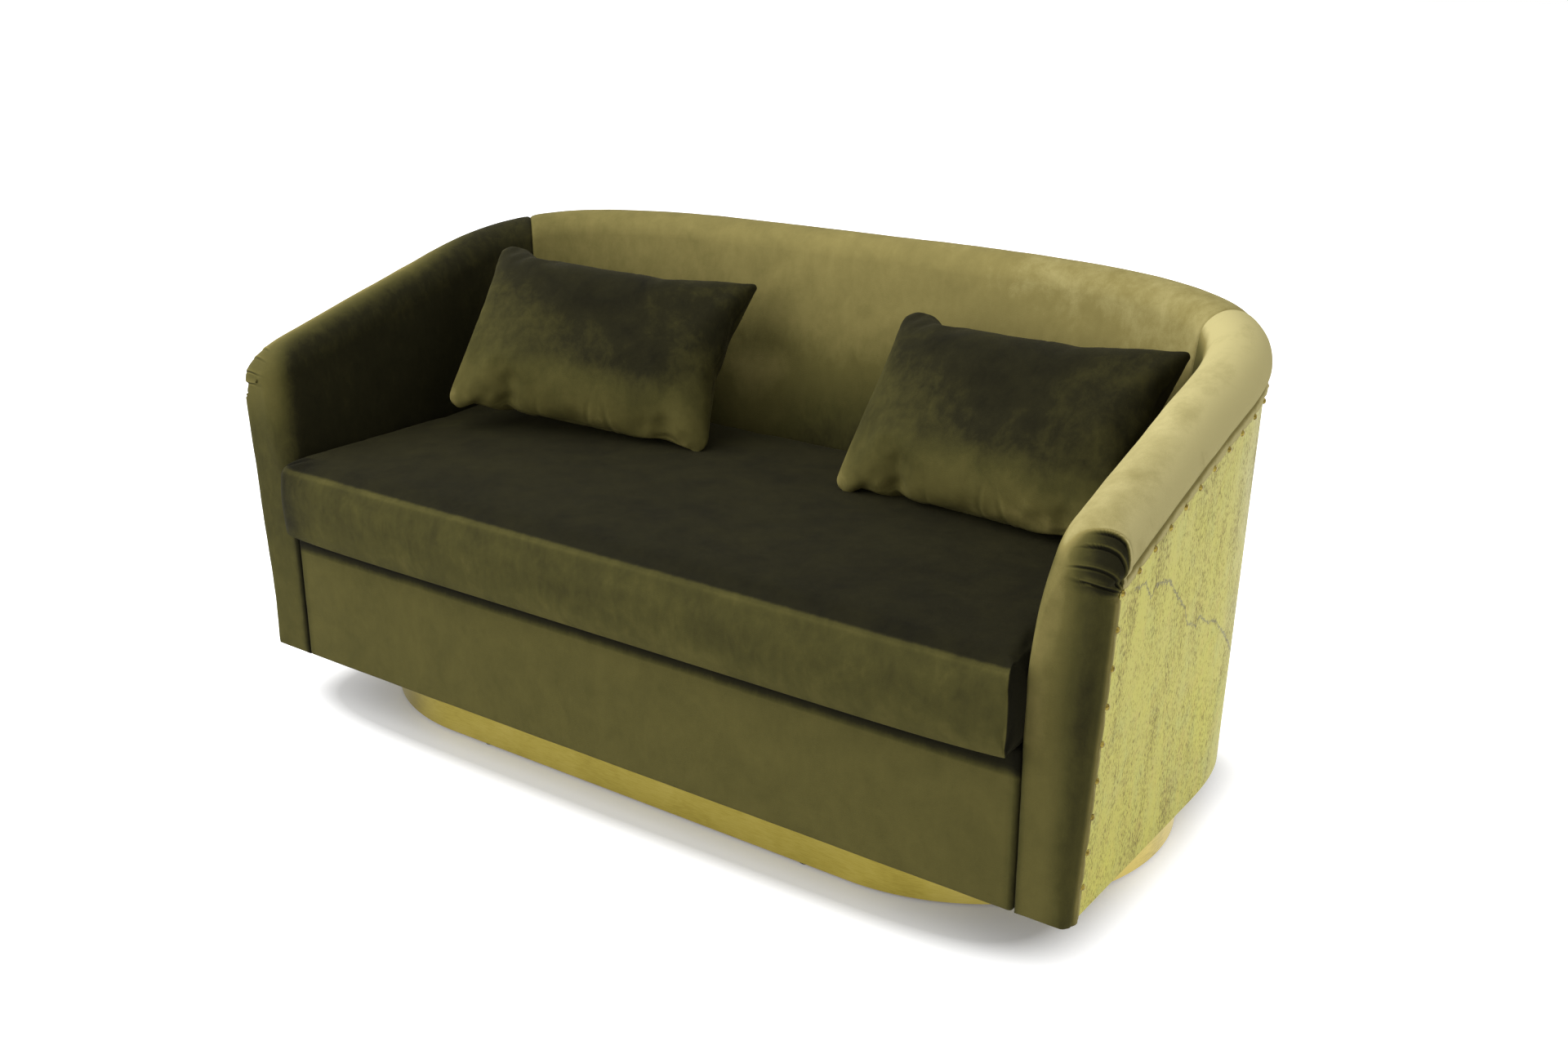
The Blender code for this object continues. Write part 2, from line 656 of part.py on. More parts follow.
def pillow_mesh():
    """Knife-edge pillow in its own plane: X across, Y up, Z out of its front face."""
    bm = bmesh.new()
    bmesh.ops.create_grid(bm, x_segments=PILLOW_CELLS[0], y_segments=PILLOW_CELLS[1], size=1.0)
    raised = bmesh.ops.extrude_face_region(bm, geom=bm.faces[:])
    front = {item for item in raised["geom"] if isinstance(item, bmesh.types.BMVert)}
    for vert in bm.verts:
        across, up = vert.co.x, vert.co.y
        fullness = max(0.0, (1 - across ** 2) * (1 - up ** 2)) ** 0.5
        x = PILLOW_WIDTH / 2 * across * (1 - PILLOW_DRAW * (1 - up ** 2))
        y = PILLOW_HEIGHT / 2 * up * (1 - PILLOW_DRAW * (1 - across ** 2))
        z = PILLOW_SEAM / 2 + (PILLOW_THICKNESS - PILLOW_SEAM) / 2 * fullness
        vert.co = (x, y, z if vert in front else -z)
    return bm


def add_pillow(name, x, y, turn, lean, roll, cushion, velvet):
    """A pillow that leans back, let down until it rests on the cushion."""
    bm = pillow_mesh()
    upright = Euler((math.pi / 2 - math.radians(lean), 0, 0)).to_matrix()
    turned = Euler((0, 0, math.radians(turn))).to_matrix() @ upright
    turned = turned @ Euler((0, 0, math.radians(roll))).to_matrix()
    probe = bm.copy()
    high = Vector((x, y, CUSHION_Z + CUSHION_HEIGHT + CUSHION_CROWN + PILLOW_HEIGHT))
    for vert in probe.verts:
        vert.co = turned @ vert.co + high
    seat = [vert.co + cushion.location for vert in cushion.data.vertices]
    seat_tree = BVHTree.FromPolygons(seat, [list(face.vertices) for face in cushion.data.polygons])
    pillow_tree = BVHTree.FromBMesh(probe)
    hits = [seat_tree.ray_cast(vert.co, Vector((0, 0, -1))) for vert in probe.verts]
    hits += [pillow_tree.ray_cast(point, Vector((0, 0, 1))) for point in seat]
    fall = min(hit[3] for hit in hits if hit[0] is not None)
    probe.free()
    pillow = add_mesh(name, bm, velvet, smooth=True)
    pillow.parent = cushion
    pillow.rotation_euler = turned.to_euler()
    pillow.location = high - Vector((0, 0, fall - PILLOW_CLEARANCE)) - cushion.location
    return pillow


clear_scene()
SOFA = bpy.data.collections.new("two_seater_sofa")
bpy.context.scene.collection.children.link(SOFA)
POST_PLACES = {
    "left_front_post": -u_along(FRAME_FRONT + POST_WIDTH / 2),
    "left_side_post": -u_along(SIDE_RUN - SIDE_POST_INSET),
    "left_rear_post": -u_angle(REAR_POST_ANGLE),
    "back_centre_post": 0.0,
    "right_rear_post": u_angle(REAR_POST_ANGLE),
    "right_side_post": u_along(SIDE_RUN - SIDE_POST_INSET),
    "right_front_post": u_along(FRAME_FRONT + POST_WIDTH / 2),
}
GRID = build_grid()

AGED_BRASS = make_material("aged_brass", (0.62, 0.53, 0.20), 1.0, 0.42)
SATIN_BRASS = make_material("satin_brass", (0.72, 0.55, 0.18), 1.0, 0.30)
VELVET = make_material("olive_velvet", (0.115, 0.105, 0.030), 0.0, 0.85)
PLYWOOD = make_material("plywood", (0.55, 0.40, 0.24), 0.0, 0.70)
TIMBER = make_material("timber", (0.48, 0.32, 0.17), 0.0, 0.65)
STEEL = make_material("spring_steel", (0.42, 0.43, 0.45), 1.0, 0.35)
FELT = make_material("deck_felt", (0.09, 0.09, 0.08), 0.0, 0.95)
DUST_CLOTH = make_material("dust_cloth", (0.03, 0.03, 0.03), 0.0, 0.90)
GLIDE_PLASTIC = make_material("glide_plastic", (0.05, 0.05, 0.05), 0.0, 0.50)

add_plinth(SATIN_BRASS, PLYWOOD, GLIDE_PLASTIC)
add_plate("dust_cover", [board_outline()], BODY_Z, BODY_Z + DUST_COVER, DUST_CLOTH)
add_plate("base_board", [board_outline()], BOARD_Z, BOARD_TOP, PLYWOOD)
add_wall(AGED_BRASS, PLYWOOD, TIMBER)
add_seat_box(TIMBER)
add_springs(STEEL)
add_deck(FELT)
add_arm_upholstery("left_arm_upholstery", -1, VELVET)
add_back_upholstery("back_upholstery", VELVET)
add_arm_upholstery("right_arm_upholstery", 1, VELVET)
add_apron(VELVET)
CUSHION = add_cushion(VELVET)
add_pillow("left_pillow", LEFT_PILLOW_INSET - SEAT_HALF_WIDTH,
           FRONT_Y + SEAT_DEPTH - LEFT_PILLOW_SETBACK,
           LEFT_PILLOW_TURN, LEFT_PILLOW_LEAN, LEFT_PILLOW_ROLL, CUSHION, VELVET)
add_pillow("right_pillow", SEAT_HALF_WIDTH - RIGHT_PILLOW_INSET,
           FRONT_Y + SEAT_DEPTH - RIGHT_PILLOW_SETBACK,
           RIGHT_PILLOW_TURN, RIGHT_PILLOW_LEAN, RIGHT_PILLOW_ROLL, CUSHION, VELVET)
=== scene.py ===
"""Two-seater tub sofa: aged brass round a plywood tub, olive velvet, a loose cushion and two pillows.

Metres, +Z up. The front faces -Y and +X is to the right as seen from the front.
"""

import math

import bpy
import numpy as np
from mathutils import Euler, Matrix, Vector, noise


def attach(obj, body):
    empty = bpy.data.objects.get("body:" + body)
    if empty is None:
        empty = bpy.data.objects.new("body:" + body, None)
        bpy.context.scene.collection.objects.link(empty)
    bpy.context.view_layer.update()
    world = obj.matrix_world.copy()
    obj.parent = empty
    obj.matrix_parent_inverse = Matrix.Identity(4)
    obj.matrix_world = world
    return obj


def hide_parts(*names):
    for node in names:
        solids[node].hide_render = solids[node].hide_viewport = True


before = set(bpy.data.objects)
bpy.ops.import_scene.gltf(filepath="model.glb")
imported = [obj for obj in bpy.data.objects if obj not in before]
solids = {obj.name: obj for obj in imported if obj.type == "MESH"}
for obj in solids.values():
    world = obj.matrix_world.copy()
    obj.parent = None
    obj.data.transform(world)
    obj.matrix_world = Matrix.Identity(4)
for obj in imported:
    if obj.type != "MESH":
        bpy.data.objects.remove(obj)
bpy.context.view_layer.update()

# Plinth: a plywood ring with two cross boards, on six moulded glides. A band of satin brass,
# 1.5 mm thick, is bent round the ring and glued on, with its joint at the back.
BODY_Z = 0.0915
BRASS = 0.0015
PLINTH_Y = 0.024
PLINTH_HALF_LENGTH = 0.729
PLINTH_HALF_DEPTH = 0.329
PLINTH_FOOT = 0.0033
SKIRT_GAP = 0.0003
SKIRT_SIDES = 256


def put(tree, kind, values=None, **settings):
    """Add a node with its settings and the values of its sockets."""
    node = tree.nodes.new(kind)
    for key, value in settings.items():
        setattr(node, key, value)
    for socket, value in (values or {}).items():
        node.inputs[socket].default_value = value
    return node


def wire(tree, source, target):
    tree.links.new(source, target)


def sums(tree, operation, first, second, third=None):
    """A Math node on sockets or plain numbers; returns its output."""
    node = tree.nodes.new("ShaderNodeMath")
    node.operation = operation
    for place, value in enumerate((first, second, third)):
        if value is None:
            continue
        if isinstance(value, (int, float)):
            node.inputs[place].default_value = value
        else:
            wire(tree, value, node.inputs[place])
    return node.outputs[0]


def shades(tree, amount, stops):
    """A Color Ramp through (place, colour) stops; returns its colour."""
    ramp = tree.nodes.new("ShaderNodeValToRGB")
    while len(ramp.color_ramp.elements) < len(stops):
        ramp.color_ramp.elements.new(1.0)
    for element, (place, color) in zip(ramp.color_ramp.elements, stops):
        element.position = place
        element.color = (*color, 1.0)
    wire(tree, amount, ramp.inputs["Fac"])
    return ramp.outputs["Color"]


def speckle(tree, where, scale, detail=2.0, roughness=0.5, distortion=0.0):
    """A Noise Texture on given coordinates; returns its factor."""
    values = {"Scale": scale, "Detail": detail, "Roughness": roughness, "Distortion": distortion}
    texture = put(tree, "ShaderNodeTexNoise", values)
    wire(tree, where, texture.inputs["Vector"])
    return texture.outputs[0]


def stretched(tree, factors, turn=(0, 0, 0)):
    """Object coordinates multiplied along each axis, to draw a pattern out."""
    mapping = put(tree, "ShaderNodeMapping", {"Scale": factors, "Rotation": turn})
    coordinates = tree.nodes.new("ShaderNodeTexCoord")
    wire(tree, coordinates.outputs["Object"], mapping.inputs["Vector"])
    return mapping.outputs["Vector"]


def blended(tree, factor, first, second, mode="MIX"):
    """Mix two colours, given as sockets or as values; returns the result."""
    node = put(tree, "ShaderNodeMix", data_type="RGBA", blend_type=mode)
    for place, value in ((0, factor), (6, first), (7, second)):
        if isinstance(value, bpy.types.NodeSocket):
            wire(tree, value, node.inputs[place])
        elif isinstance(value, tuple):
            node.inputs[place].default_value = (*value, 1.0)
        else:
            node.inputs[place].default_value = value
    return node.outputs[2]


def ranged(tree, value, first, last, low=0.0, high=1.0):
    """Carry a value from one range over to another; returns the result."""
    values = {"From Min": first, "From Max": last, "To Min": low, "To Max": high}
    node = put(tree, "ShaderNodeMapRange", values)
    wire(tree, value, node.inputs["Value"])
    return node.outputs["Result"]


def axes(tree):
    """Object coordinates, each on its own."""
    node = tree.nodes.new("ShaderNodeSeparateXYZ")
    wire(tree, stretched(tree, (1, 1, 1)), node.inputs[0])
    return node.outputs


def bumped(tree, shader, height, strength, distance):
    """Give a shader the fine relief of a height."""
    bump = put(tree, "ShaderNodeBump", {"Strength": strength, "Distance": distance})
    wire(tree, height, bump.inputs["Height"])
    wire(tree, bump.outputs["Normal"], shader.inputs["Normal"])


def new_group(name, inputs):
    """A shader node group that gives Color, Roughness and Height, and its two end nodes."""
    group = bpy.data.node_groups.new(name, "ShaderNodeTree")
    for label, kind, value in inputs:
        group.interface.new_socket(label, in_out="INPUT", socket_type=kind).default_value = value
    for label, kind in (("Color", "Color"), ("Roughness", "Float"), ("Height", "Float")):
        group.interface.new_socket(label, in_out="OUTPUT", socket_type="NodeSocket" + kind)
    return group, group.nodes.new("NodeGroupInput"), group.nodes.new("NodeGroupOutput")


def new_material(name, group=None, values=None, **constants):
    """A material round a Principled shader, fed by a group's Color, Roughness and Height."""
    material = bpy.data.materials.new(name)
    material.use_nodes = True
    tree = material.node_tree
    shader = tree.nodes["Principled BSDF"]
    for label, value in constants.items():
        shader.inputs[label.replace("_", " ").title()].default_value = value
    if group is None:
        return material, tree, shader
    effect = put(tree, "ShaderNodeGroup", node_tree=group)
    for label, value in (values or {}).items():
        effect.inputs[label].default_value = value
    wire(tree, effect.outputs["Color"], shader.inputs["Base Color"])
    wire(tree, effect.outputs["Roughness"], shader.inputs["Roughness"])
    bumped(tree, shader, effect.outputs["Height"], 0.6, 0.001)
    return material, tree, shader


def speckled(name, draw, texture, stops, rough, **constants):
    """A material with one noise for both its colour and its roughness."""
    material, tree, shader = new_material(name, **constants)
    amount = speckle(tree, stretched(tree, draw), *texture)
    wire(tree, shades(tree, amount, stops), shader.inputs["Base Color"])
    wire(tree, sums(tree, "MULTIPLY_ADD", amount, *rough), shader.inputs["Roughness"])
    return material


def dress(material, *names):
    """Give solids that stay in view their material."""
    for name in names:
        for place in solids[name].material_slots:
            place.material = material


def stand_in(piece, node, body):
    """Show a piece in place of a solid."""
    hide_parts(node)
    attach(piece, body)


def make_active(piece):
    """Select one piece alone, as the operators need it."""
    bpy.ops.object.select_all(action="DESELECT")
    piece.select_set(True)
    bpy.context.view_layer.objects.active = piece


def apply_modifiers(piece):
    make_active(piece)
    for modifier in list(piece.modifiers):
        bpy.ops.object.modifier_apply(modifier=modifier.name)


def give_wall(piece, thickness):
    """Make a surface a sheet, with its thickness behind it."""
    wall = piece.modifiers.new("wall", "SOLIDIFY")
    wall.thickness = thickness
    wall.offset = -1


def points_of(piece):
    points = np.empty(len(piece.data.vertices) * 3)
    piece.data.vertices.foreach_get("co", points)
    return points.reshape(-1, 3)


def set_points(piece, points):
    piece.data.vertices.foreach_set("co", np.ascontiguousarray(points, dtype=np.float64).ravel())
    piece.data.update()


def leave_edit():
    bpy.ops.object.mode_set(mode="OBJECT")


def pick(piece, chosen=None):
    """Go to edit mode with the chosen vertices selected, or with all of them."""
    if chosen is None:
        chosen = np.ones(len(piece.data.vertices), dtype=bool)
    make_active(piece)
    bpy.ops.object.mode_set(mode="EDIT")
    bpy.ops.mesh.select_mode(type="VERT")
    bpy.ops.mesh.select_all(action="DESELECT")
    leave_edit()
    piece.data.vertices.foreach_set("select", np.asarray(chosen, dtype=bool))
    bpy.ops.object.mode_set(mode="EDIT")


def turn_out(piece):
    """Make the faces of a piece point outwards."""
    pick(piece)
    bpy.ops.mesh.normals_make_consistent(inside=False)
    leave_edit()


grain, grain_in, grain_out = new_group(
    "wood_grain",
    [("Pale", "NodeSocketColor", (0.6, 0.45, 0.28, 1)), ("Dark", "NodeSocketColor", (0.4, 0.26, 0.14, 1)),
     ("Draw", "NodeSocketVector", (1, 1, 0.08))])
drawn = put(grain, "ShaderNodeVectorMath", operation="MULTIPLY")
wire(grain, grain.nodes.new("ShaderNodeTexCoord").outputs["Object"], drawn.inputs[0])
wire(grain, grain_in.outputs["Draw"], drawn.inputs[1])
rings = speckle(grain, drawn.outputs[0], 28, 4, 0.6, 1.2)
fibres = speckle(grain, drawn.outputs[0], 320, 2, 0.6)
figure = sums(grain, "MULTIPLY_ADD", fibres, 0.45, sums(grain, "MULTIPLY", rings, 0.7))
wire(grain, blended(grain, figure, grain_in.outputs["Dark"], grain_in.outputs["Pale"]),
     grain_out.inputs["Color"])
wire(grain, sums(grain, "MULTIPLY_ADD", fibres, 0.2, 0.55), grain_out.inputs["Roughness"])
wire(grain, fibres, grain_out.inputs["Height"])
plywood = new_material("birch_plywood", grain)[0]
dress(plywood, "plinth_frame", "plinth_cross_left", "plinth_cross_right")

moulded = speckled("moulded_glide", (1, 1, 1), (900, 2),
                   [(0.3, (0.030, 0.030, 0.031)), (0.7, (0.060, 0.060, 0.062))], (0.3, 0.35))
dress(moulded, *[f"glide_{number}" for number in range(1, 7)])

bpy.ops.mesh.primitive_cylinder_add(vertices=SKIRT_SIDES, radius=PLINTH_HALF_DEPTH,
                                    depth=BODY_Z - PLINTH_FOOT - SKIRT_GAP, end_fill_type="NOTHING",
                                    location=(0, PLINTH_Y, (BODY_Z + PLINTH_FOOT) / 2),
                                    rotation=(0, 0, math.pi / SKIRT_SIDES))
skirt = bpy.context.object
skirt.name = "plinth_band"
bpy.ops.object.transform_apply(location=True, rotation=True, scale=True)
for side in (1, -1):
    pick(skirt, points_of(skirt)[:, 0] * side > 0)
    bpy.ops.transform.translate(value=(side * (PLINTH_HALF_LENGTH - PLINTH_HALF_DEPTH), 0, 0))
    leave_edit()
pick(skirt)
bpy.ops.mesh.subdivide(number_cuts=3)
bpy.ops.mesh.normals_make_consistent(inside=False)
leave_edit()
give_wall(skirt, BRASS)
edge = skirt.modifiers.new("eased edges", "BEVEL")
edge.width = 0.0004
edge.limit_method = "ANGLE"
apply_modifiers(skirt)
bpy.ops.object.shade_smooth_by_angle(angle=math.radians(40))

satin, tree, shader = new_material("satin_brass", metallic=1.0)
brushed = speckle(tree, stretched(tree, (1, 1, 14)), 60, 3, 0.6)
smudge = speckle(tree, stretched(tree, (1, 1, 1)), 9, 4, 0.6, 0.5)
tarnish_and_painted_reflection = sums(tree, "MULTIPLY_ADD", brushed, 0.5, sums(tree, "MULTIPLY", smudge, 0.6))
# The round ends are painted brighter: a painted reflection of the bright studio, on top of the tarnish.
off_middle = sums(tree, "ABSOLUTE", axes(tree)["X"], 0.0)
tarnish_and_painted_reflection = sums(tree, "ADD", tarnish_and_painted_reflection, ranged(tree, off_middle, 0.50, 0.70, 0.0, 0.45))
wire(tree, shades(tree, tarnish_and_painted_reflection, [(0.3, (0.285, 0.222, 0.038)), (0.55, (0.41, 0.33, 0.064)),
                                  (0.85, (0.51, 0.415, 0.105)), (1.0, (0.70, 0.57, 0.17))]),
     shader.inputs["Base Color"])
wire(tree, sums(tree, "MULTIPLY_ADD", smudge, 0.28, 0.20), shader.inputs["Roughness"])
bumped(tree, shader, brushed, 0.12, 0.0005)
skirt.data.materials.append(satin)
stand_in(skirt, "plinth_skirt", "sofa")

# Base: a plywood board cut to the plan of the tub and screwed to the plinth, with a black
# non-woven dust cover stapled under it.
dress(plywood, "base_board")
matted, matted_in, matted_out = new_group(
    "matted_fibres",
    [("Pale", "NodeSocketColor", (0.1, 0.1, 0.1, 1)), ("Dark", "NodeSocketColor", (0.03, 0.03, 0.03, 1)),
     ("Fibre", "NodeSocketFloat", 420.0)])
tangle = put(matted, "ShaderNodeTexNoise", {"Detail": 3.0, "Roughness": 0.6, "Distortion": 2.5})
wire(matted, matted.nodes.new("ShaderNodeTexCoord").outputs["Object"], tangle.inputs["Vector"])
wire(matted, matted_in.outputs["Fibre"], tangle.inputs["Scale"])
wire(matted, blended(matted, tangle.outputs[0], matted_in.outputs["Dark"], matted_in.outputs["Pale"]),
     matted_out.inputs["Color"])
wire(matted, sums(matted, "MULTIPLY_ADD", tangle.outputs[0], 0.1, 0.85), matted_out.inputs["Roughness"])
wire(matted, tangle.outputs[0], matted_out.inputs["Height"])
dust_cloth = new_material("dust_cloth_black", matted, {"Pale": (0.055, 0.055, 0.055, 1),
                                                       "Dark": (0.012, 0.012, 0.012, 1), "Fibre": 650.0})[0]
dress(dust_cloth, "dust_cover")

# Tub frame: bent plywood walls on timber posts, with a timber rail under the rim, and a box of
# rails with glued corner blocks for the seat. All of it is hidden once the sofa is covered.
dress(plywood, "left_side_panel", "back_panel", "right_side_panel")
beech = {"Pale": (0.56, 0.38, 0.21, 1), "Dark": (0.36, 0.22, 0.11, 1)}
upright_timber = new_material("beech_upright", grain, beech)[0]
level_timber = new_material("beech_level", grain, {**beech, "Draw": (0.08, 0.5, 1)})[0]
dress(upright_timber, "left_front_post", "left_side_post", "left_rear_post", "back_centre_post",
      "right_rear_post", "right_side_post", "right_front_post")
dress(level_timber, "left_arm_rail", "back_top_rail", "right_arm_rail", "front_rail", "rear_rail",
      "left_seat_rail", "right_seat_rail", *[f"corner_block_{number}" for number in range(1, 5)])

# Seat platform: seven sinuous springs of drawn steel wire between the front and rear rails, and a
# pad of needled felt over them that the loose cushion lies on.
spring_steel = speckled("drawn_spring_wire", (1, 0.2, 1), (240, 3),
                        [(0.3, (0.26, 0.26, 0.27)), (0.7, (0.50, 0.51, 0.53))], (0.25, 0.25), metallic=1.0)
dress(spring_steel, *[f"spring_{number}" for number in range(1, 8)])
felt = new_material("needled_felt", matted, {"Pale": (0.13, 0.13, 0.12, 1), "Dark": (0.05, 0.05, 0.045, 1),
                                             "Fibre": 300.0})[0]
dress(felt, "seat_deck")

# Wall upholstery: padding and olive velvet that roll over the rim and down the inner faces, in three
# covers sewn together at the rear corners. The arm covers turn down over the arm fronts, gathered in
# a fan of pleats at the top corner of the brass, and their edge is nailed down with the brass.
FRONT_Y = -0.360
FOOT_HALF_WIDTH = 0.764
FOOT_DEPTH = 0.757
SEAT_HALF_WIDTH = 0.690
SEAT_DEPTH = 0.600
RIM_HALF_FRONT = 0.752
RIM_HALF_REAR = 0.742
RIM_BACK = 0.708
SIDE_RUN = 0.363
SQUARENESS = 3.62
ROLL = 0.047
ROLL_PROUD = 0.006
LIP_DROP = 0.034
LIP_END = 0.020
LIP_BLEND = 0.012
RIM_RISE = (0.571, 0.288, 0.7985, 0.055)
DECK_Z = 0.3027
SEAM_U = 2 / 3
SEAM_GAP = 0.0004
PAD_SWELL = 0.006
COVER = 0.004
COVER_FOOT = BODY_Z - COVER
BRASS_FRONT = 0.0343
EDGE_BAND = 0.03
NAIL_PITCH = 0.0490
FRONT_PITCH = 0.0515


def rim_plan(u):
    """Points and outward normals along the roll's centre line: u is 0 at the middle of the back,
    1 where the right arm's straight run ends and 2 at its front; the left side is negative."""
    u = np.asarray(u, dtype=float)
    side = np.where(u < 0, -1.0, 1.0)
    along = 2 - np.abs(u)
    half = RIM_HALF_FRONT + (RIM_HALF_REAR - RIM_HALF_FRONT) * np.minimum(along, 1)
    angle = np.clip(along - 1, 0, 1) * math.pi / 2
    power = 2 / SQUARENESS
    cos = np.maximum(np.cos(angle), 0)
    x = side * half * cos ** power
    curve = SIDE_RUN + (RIM_BACK - SIDE_RUN) * np.sin(angle) ** power
    y = FRONT_Y + np.where(along <= 1, SIDE_RUN * along, curve)
    across = np.where(along <= 1, 1.0, cos ** (2 - power) / RIM_HALF_REAR)
    back = np.where(along <= 1, 0.0, np.sin(angle) ** (2 - power) / (RIM_BACK - SIDE_RUN))
    length = np.hypot(across, back)
    return x, y, side * across / length, back / length


def rim_height(u):
    """Height of the roll's centre: it climbs along the arms and levels off round the back."""
    front, slope, crest, blend = RIM_RISE
    climb = front + slope * (rim_plan(u)[1] - FRONT_Y)
    return -blend * np.log(np.exp(-climb / blend) + np.exp(-crest / blend))


def wall_offsets(u):
    """Distance from the roll's centre line out to the foot of the brass and in to the seat deck."""
    along = np.minimum(2 - np.abs(u), 1)
    half = RIM_HALF_FRONT + (RIM_HALF_REAR - RIM_HALF_FRONT) * along
    across, back = rim_plan(u)[2:]
    brass = (FOOT_HALF_WIDTH - half) * across ** 2 + (FOOT_DEPTH - RIM_BACK) * back ** 2
    deck = (half - SEAT_HALF_WIDTH) * across ** 2 + (RIM_BACK - SEAT_DEPTH) * back ** 2
    return brass, deck


def brass_offset(u, z):
    """Outside of the brass, outward from the roll's centre line: it leans from foot to rim."""
    foot = wall_offsets(u)[0]
    return foot + (ROLL - ROLL_PROUD - foot) * (z - BODY_Z) / (rim_height(u) - BODY_Z)


def wall_points(u, offset, z):
    x, y, across, back = rim_plan(u)
    return np.stack([x + across * offset, y + back * offset, z + 0 * x], axis=-1)


def velvet_section(u, angle_share, face_share, dip=0.0):
    """Offset, height and roll angle of the cover at stations u: shares from 0 to 1 run over the roll
    from the brass edge, and then down the inner face to the deck."""
    height = rim_height(u)
    deck = wall_offsets(u)[1]
    reach = np.hypot(deck, height - DECK_Z)
    end = math.pi + np.arctan2(height - DECK_Z, deck) - np.arccos(ROLL / reach)
    start = -math.asin(LIP_DROP / ROLL)
    angle = start + (end - start) * angle_share
    offset = (ROLL + dip) * np.cos(angle)
    z = height + (ROLL + dip) * np.sin(angle)
    offset = offset + (-deck - dip - offset) * face_share - PAD_SWELL * np.sin(math.pi * face_share)
    z = z + (DECK_Z - z) * face_share
    return offset, z, angle


def grid_piece(name, columns, rows):
    """A flat grid to shape, with the column and row of each of its vertices."""
    bpy.ops.mesh.primitive_grid_add(x_subdivisions=columns - 1, y_subdivisions=rows - 1, size=2)
    piece = bpy.context.object
    piece.name = name
    piece.data.name = name
    flat = points_of(piece)
    column = np.rint((flat[:, 0] + 1) / 2 * (columns - 1)).astype(int)
    row = np.rint((flat[:, 1] + 1) / 2 * (rows - 1)).astype(int)
    return piece, column, row


def lump(points, scale, seed):
    """Smooth, repeatable unevenness between about -1 and 1."""
    shift = Vector((seed * 7.3, seed * 3.1, seed * 1.7))
    return np.array([noise.noise(Vector(point) * scale + shift) for point in points])


def normals_of(piece):
    normals = np.empty(len(piece.data.vertices) * 3)
    piece.data.vertices.foreach_get("normal", normals)
    return normals.reshape(-1, 3)


def note(piece, **by_label):
    """Keep numbers for each vertex of a piece, under their labels."""
    for label, values in by_label.items():
        layer = piece.data.attributes.new(label, "FLOAT", "POINT")
        layer.data.foreach_set("value", np.ascontiguousarray(values, dtype=np.float32))


def noted(piece, label):
    values = np.empty(len(piece.data.vertices), dtype=np.float32)
    piece.data.attributes[label].data.foreach_get("value", values)
    return values.astype(float)


def spaced(first, last, step):
    """Even places from first to last, about a step apart."""
    return np.linspace(first, last, max(2, int(round(abs(last - first) / step)) + 1))


def eased(x):
    x = np.clip(x, 0, 1)
    return x * x * (3 - 2 * x)


def bell(x, width):
    return np.exp(-(x / width) ** 2)


# The top edge of the brass on the right half, from the arm front to the middle of the back.
EDGE_U = np.concatenate([np.linspace(2 - BRASS_FRONT / SIDE_RUN, 1, 300), np.linspace(1, 0, 600)[1:]])
EDGE_Z = rim_height(EDGE_U) - LIP_DROP
EDGE_LINE = wall_points(EDGE_U, brass_offset(EDGE_U, EDGE_Z), EDGE_Z)
EDGE_TRAVEL = np.concatenate([[0], np.cumsum(np.linalg.norm(np.diff(EDGE_LINE, axis=0), axis=1))])
SEAM_TRAVEL = np.interp(2 - SEAM_U, 2 - EDGE_U, EDGE_TRAVEL)
NAIL_TRAVEL = np.arange(0.0015, EDGE_TRAVEL[-1], NAIL_PITCH)
FRONT_NAIL_Z = np.arange(EDGE_Z[0] - 0.046, BODY_Z + 0.03, -FRONT_PITCH)
ARC_COLUMNS = 110
FACE_COLUMNS = 40
LOW_ROLL = 0.3
SEAM_STEPS = np.array([0.0, 0.0012, 0.0026, 0.0042, 0.0062, 0.0088, 0.012])

arc_share = np.linspace(0, 1, ARC_COLUMNS)
wall_angle = np.concatenate([arc_share, np.ones(FACE_COLUMNS)])
wall_face = np.concatenate([np.zeros(ARC_COLUMNS), np.linspace(0, 1, FACE_COLUMNS + 1)[1:]])

# How far the cover stands off the brass, by the distance from the brass edge: a narrow lip, then a
# crease, before the roll swells out.
LIP_STEPS = np.linspace(0, 0.036, 145)
LIP_STAND = np.interp(LIP_STEPS, [0, 0.0015, 0.004, 0.010, 0.0145, 0.0175, 0.0205, 0.025, 0.030, 0.036],
                      [0.0004, 0.0023, 0.0036, 0.0036, 0.0021, 0.0004, 0.0012, 0.0034, 0.0052, 0.0060])
LIP_STAND[3:-3] = np.convolve(LIP_STAND, np.ones(7) / 7, mode="valid")


def edge_lip(distance):
    return np.interp(distance, LIP_STEPS, LIP_STAND)


def seam_dip(travel):
    """How far the cover is drawn in by a rear seam, at a distance along the rim."""
    away = np.abs(travel - SEAM_TRAVEL)
    return -0.0024 * bell(away, 0.0030) - 0.0012 * bell(away, 0.011)


def travel_at(u):
    return np.interp(2 - np.abs(u), 2 - EDGE_U, EDGE_TRAVEL)


def u_at(travel):
    return np.interp(travel, EDGE_TRAVEL, EDGE_U)


def over_lip(u, z, offset):
    """Offset of the cover low on the roll, where it swells out over the lip along the brass edge."""
    above = np.maximum(z - (rim_height(u) - LIP_DROP), 0)
    lip = brass_offset(u, z) + edge_lip(above)
    return lip + (offset - lip) * eased((above - LIP_END) / LIP_BLEND)


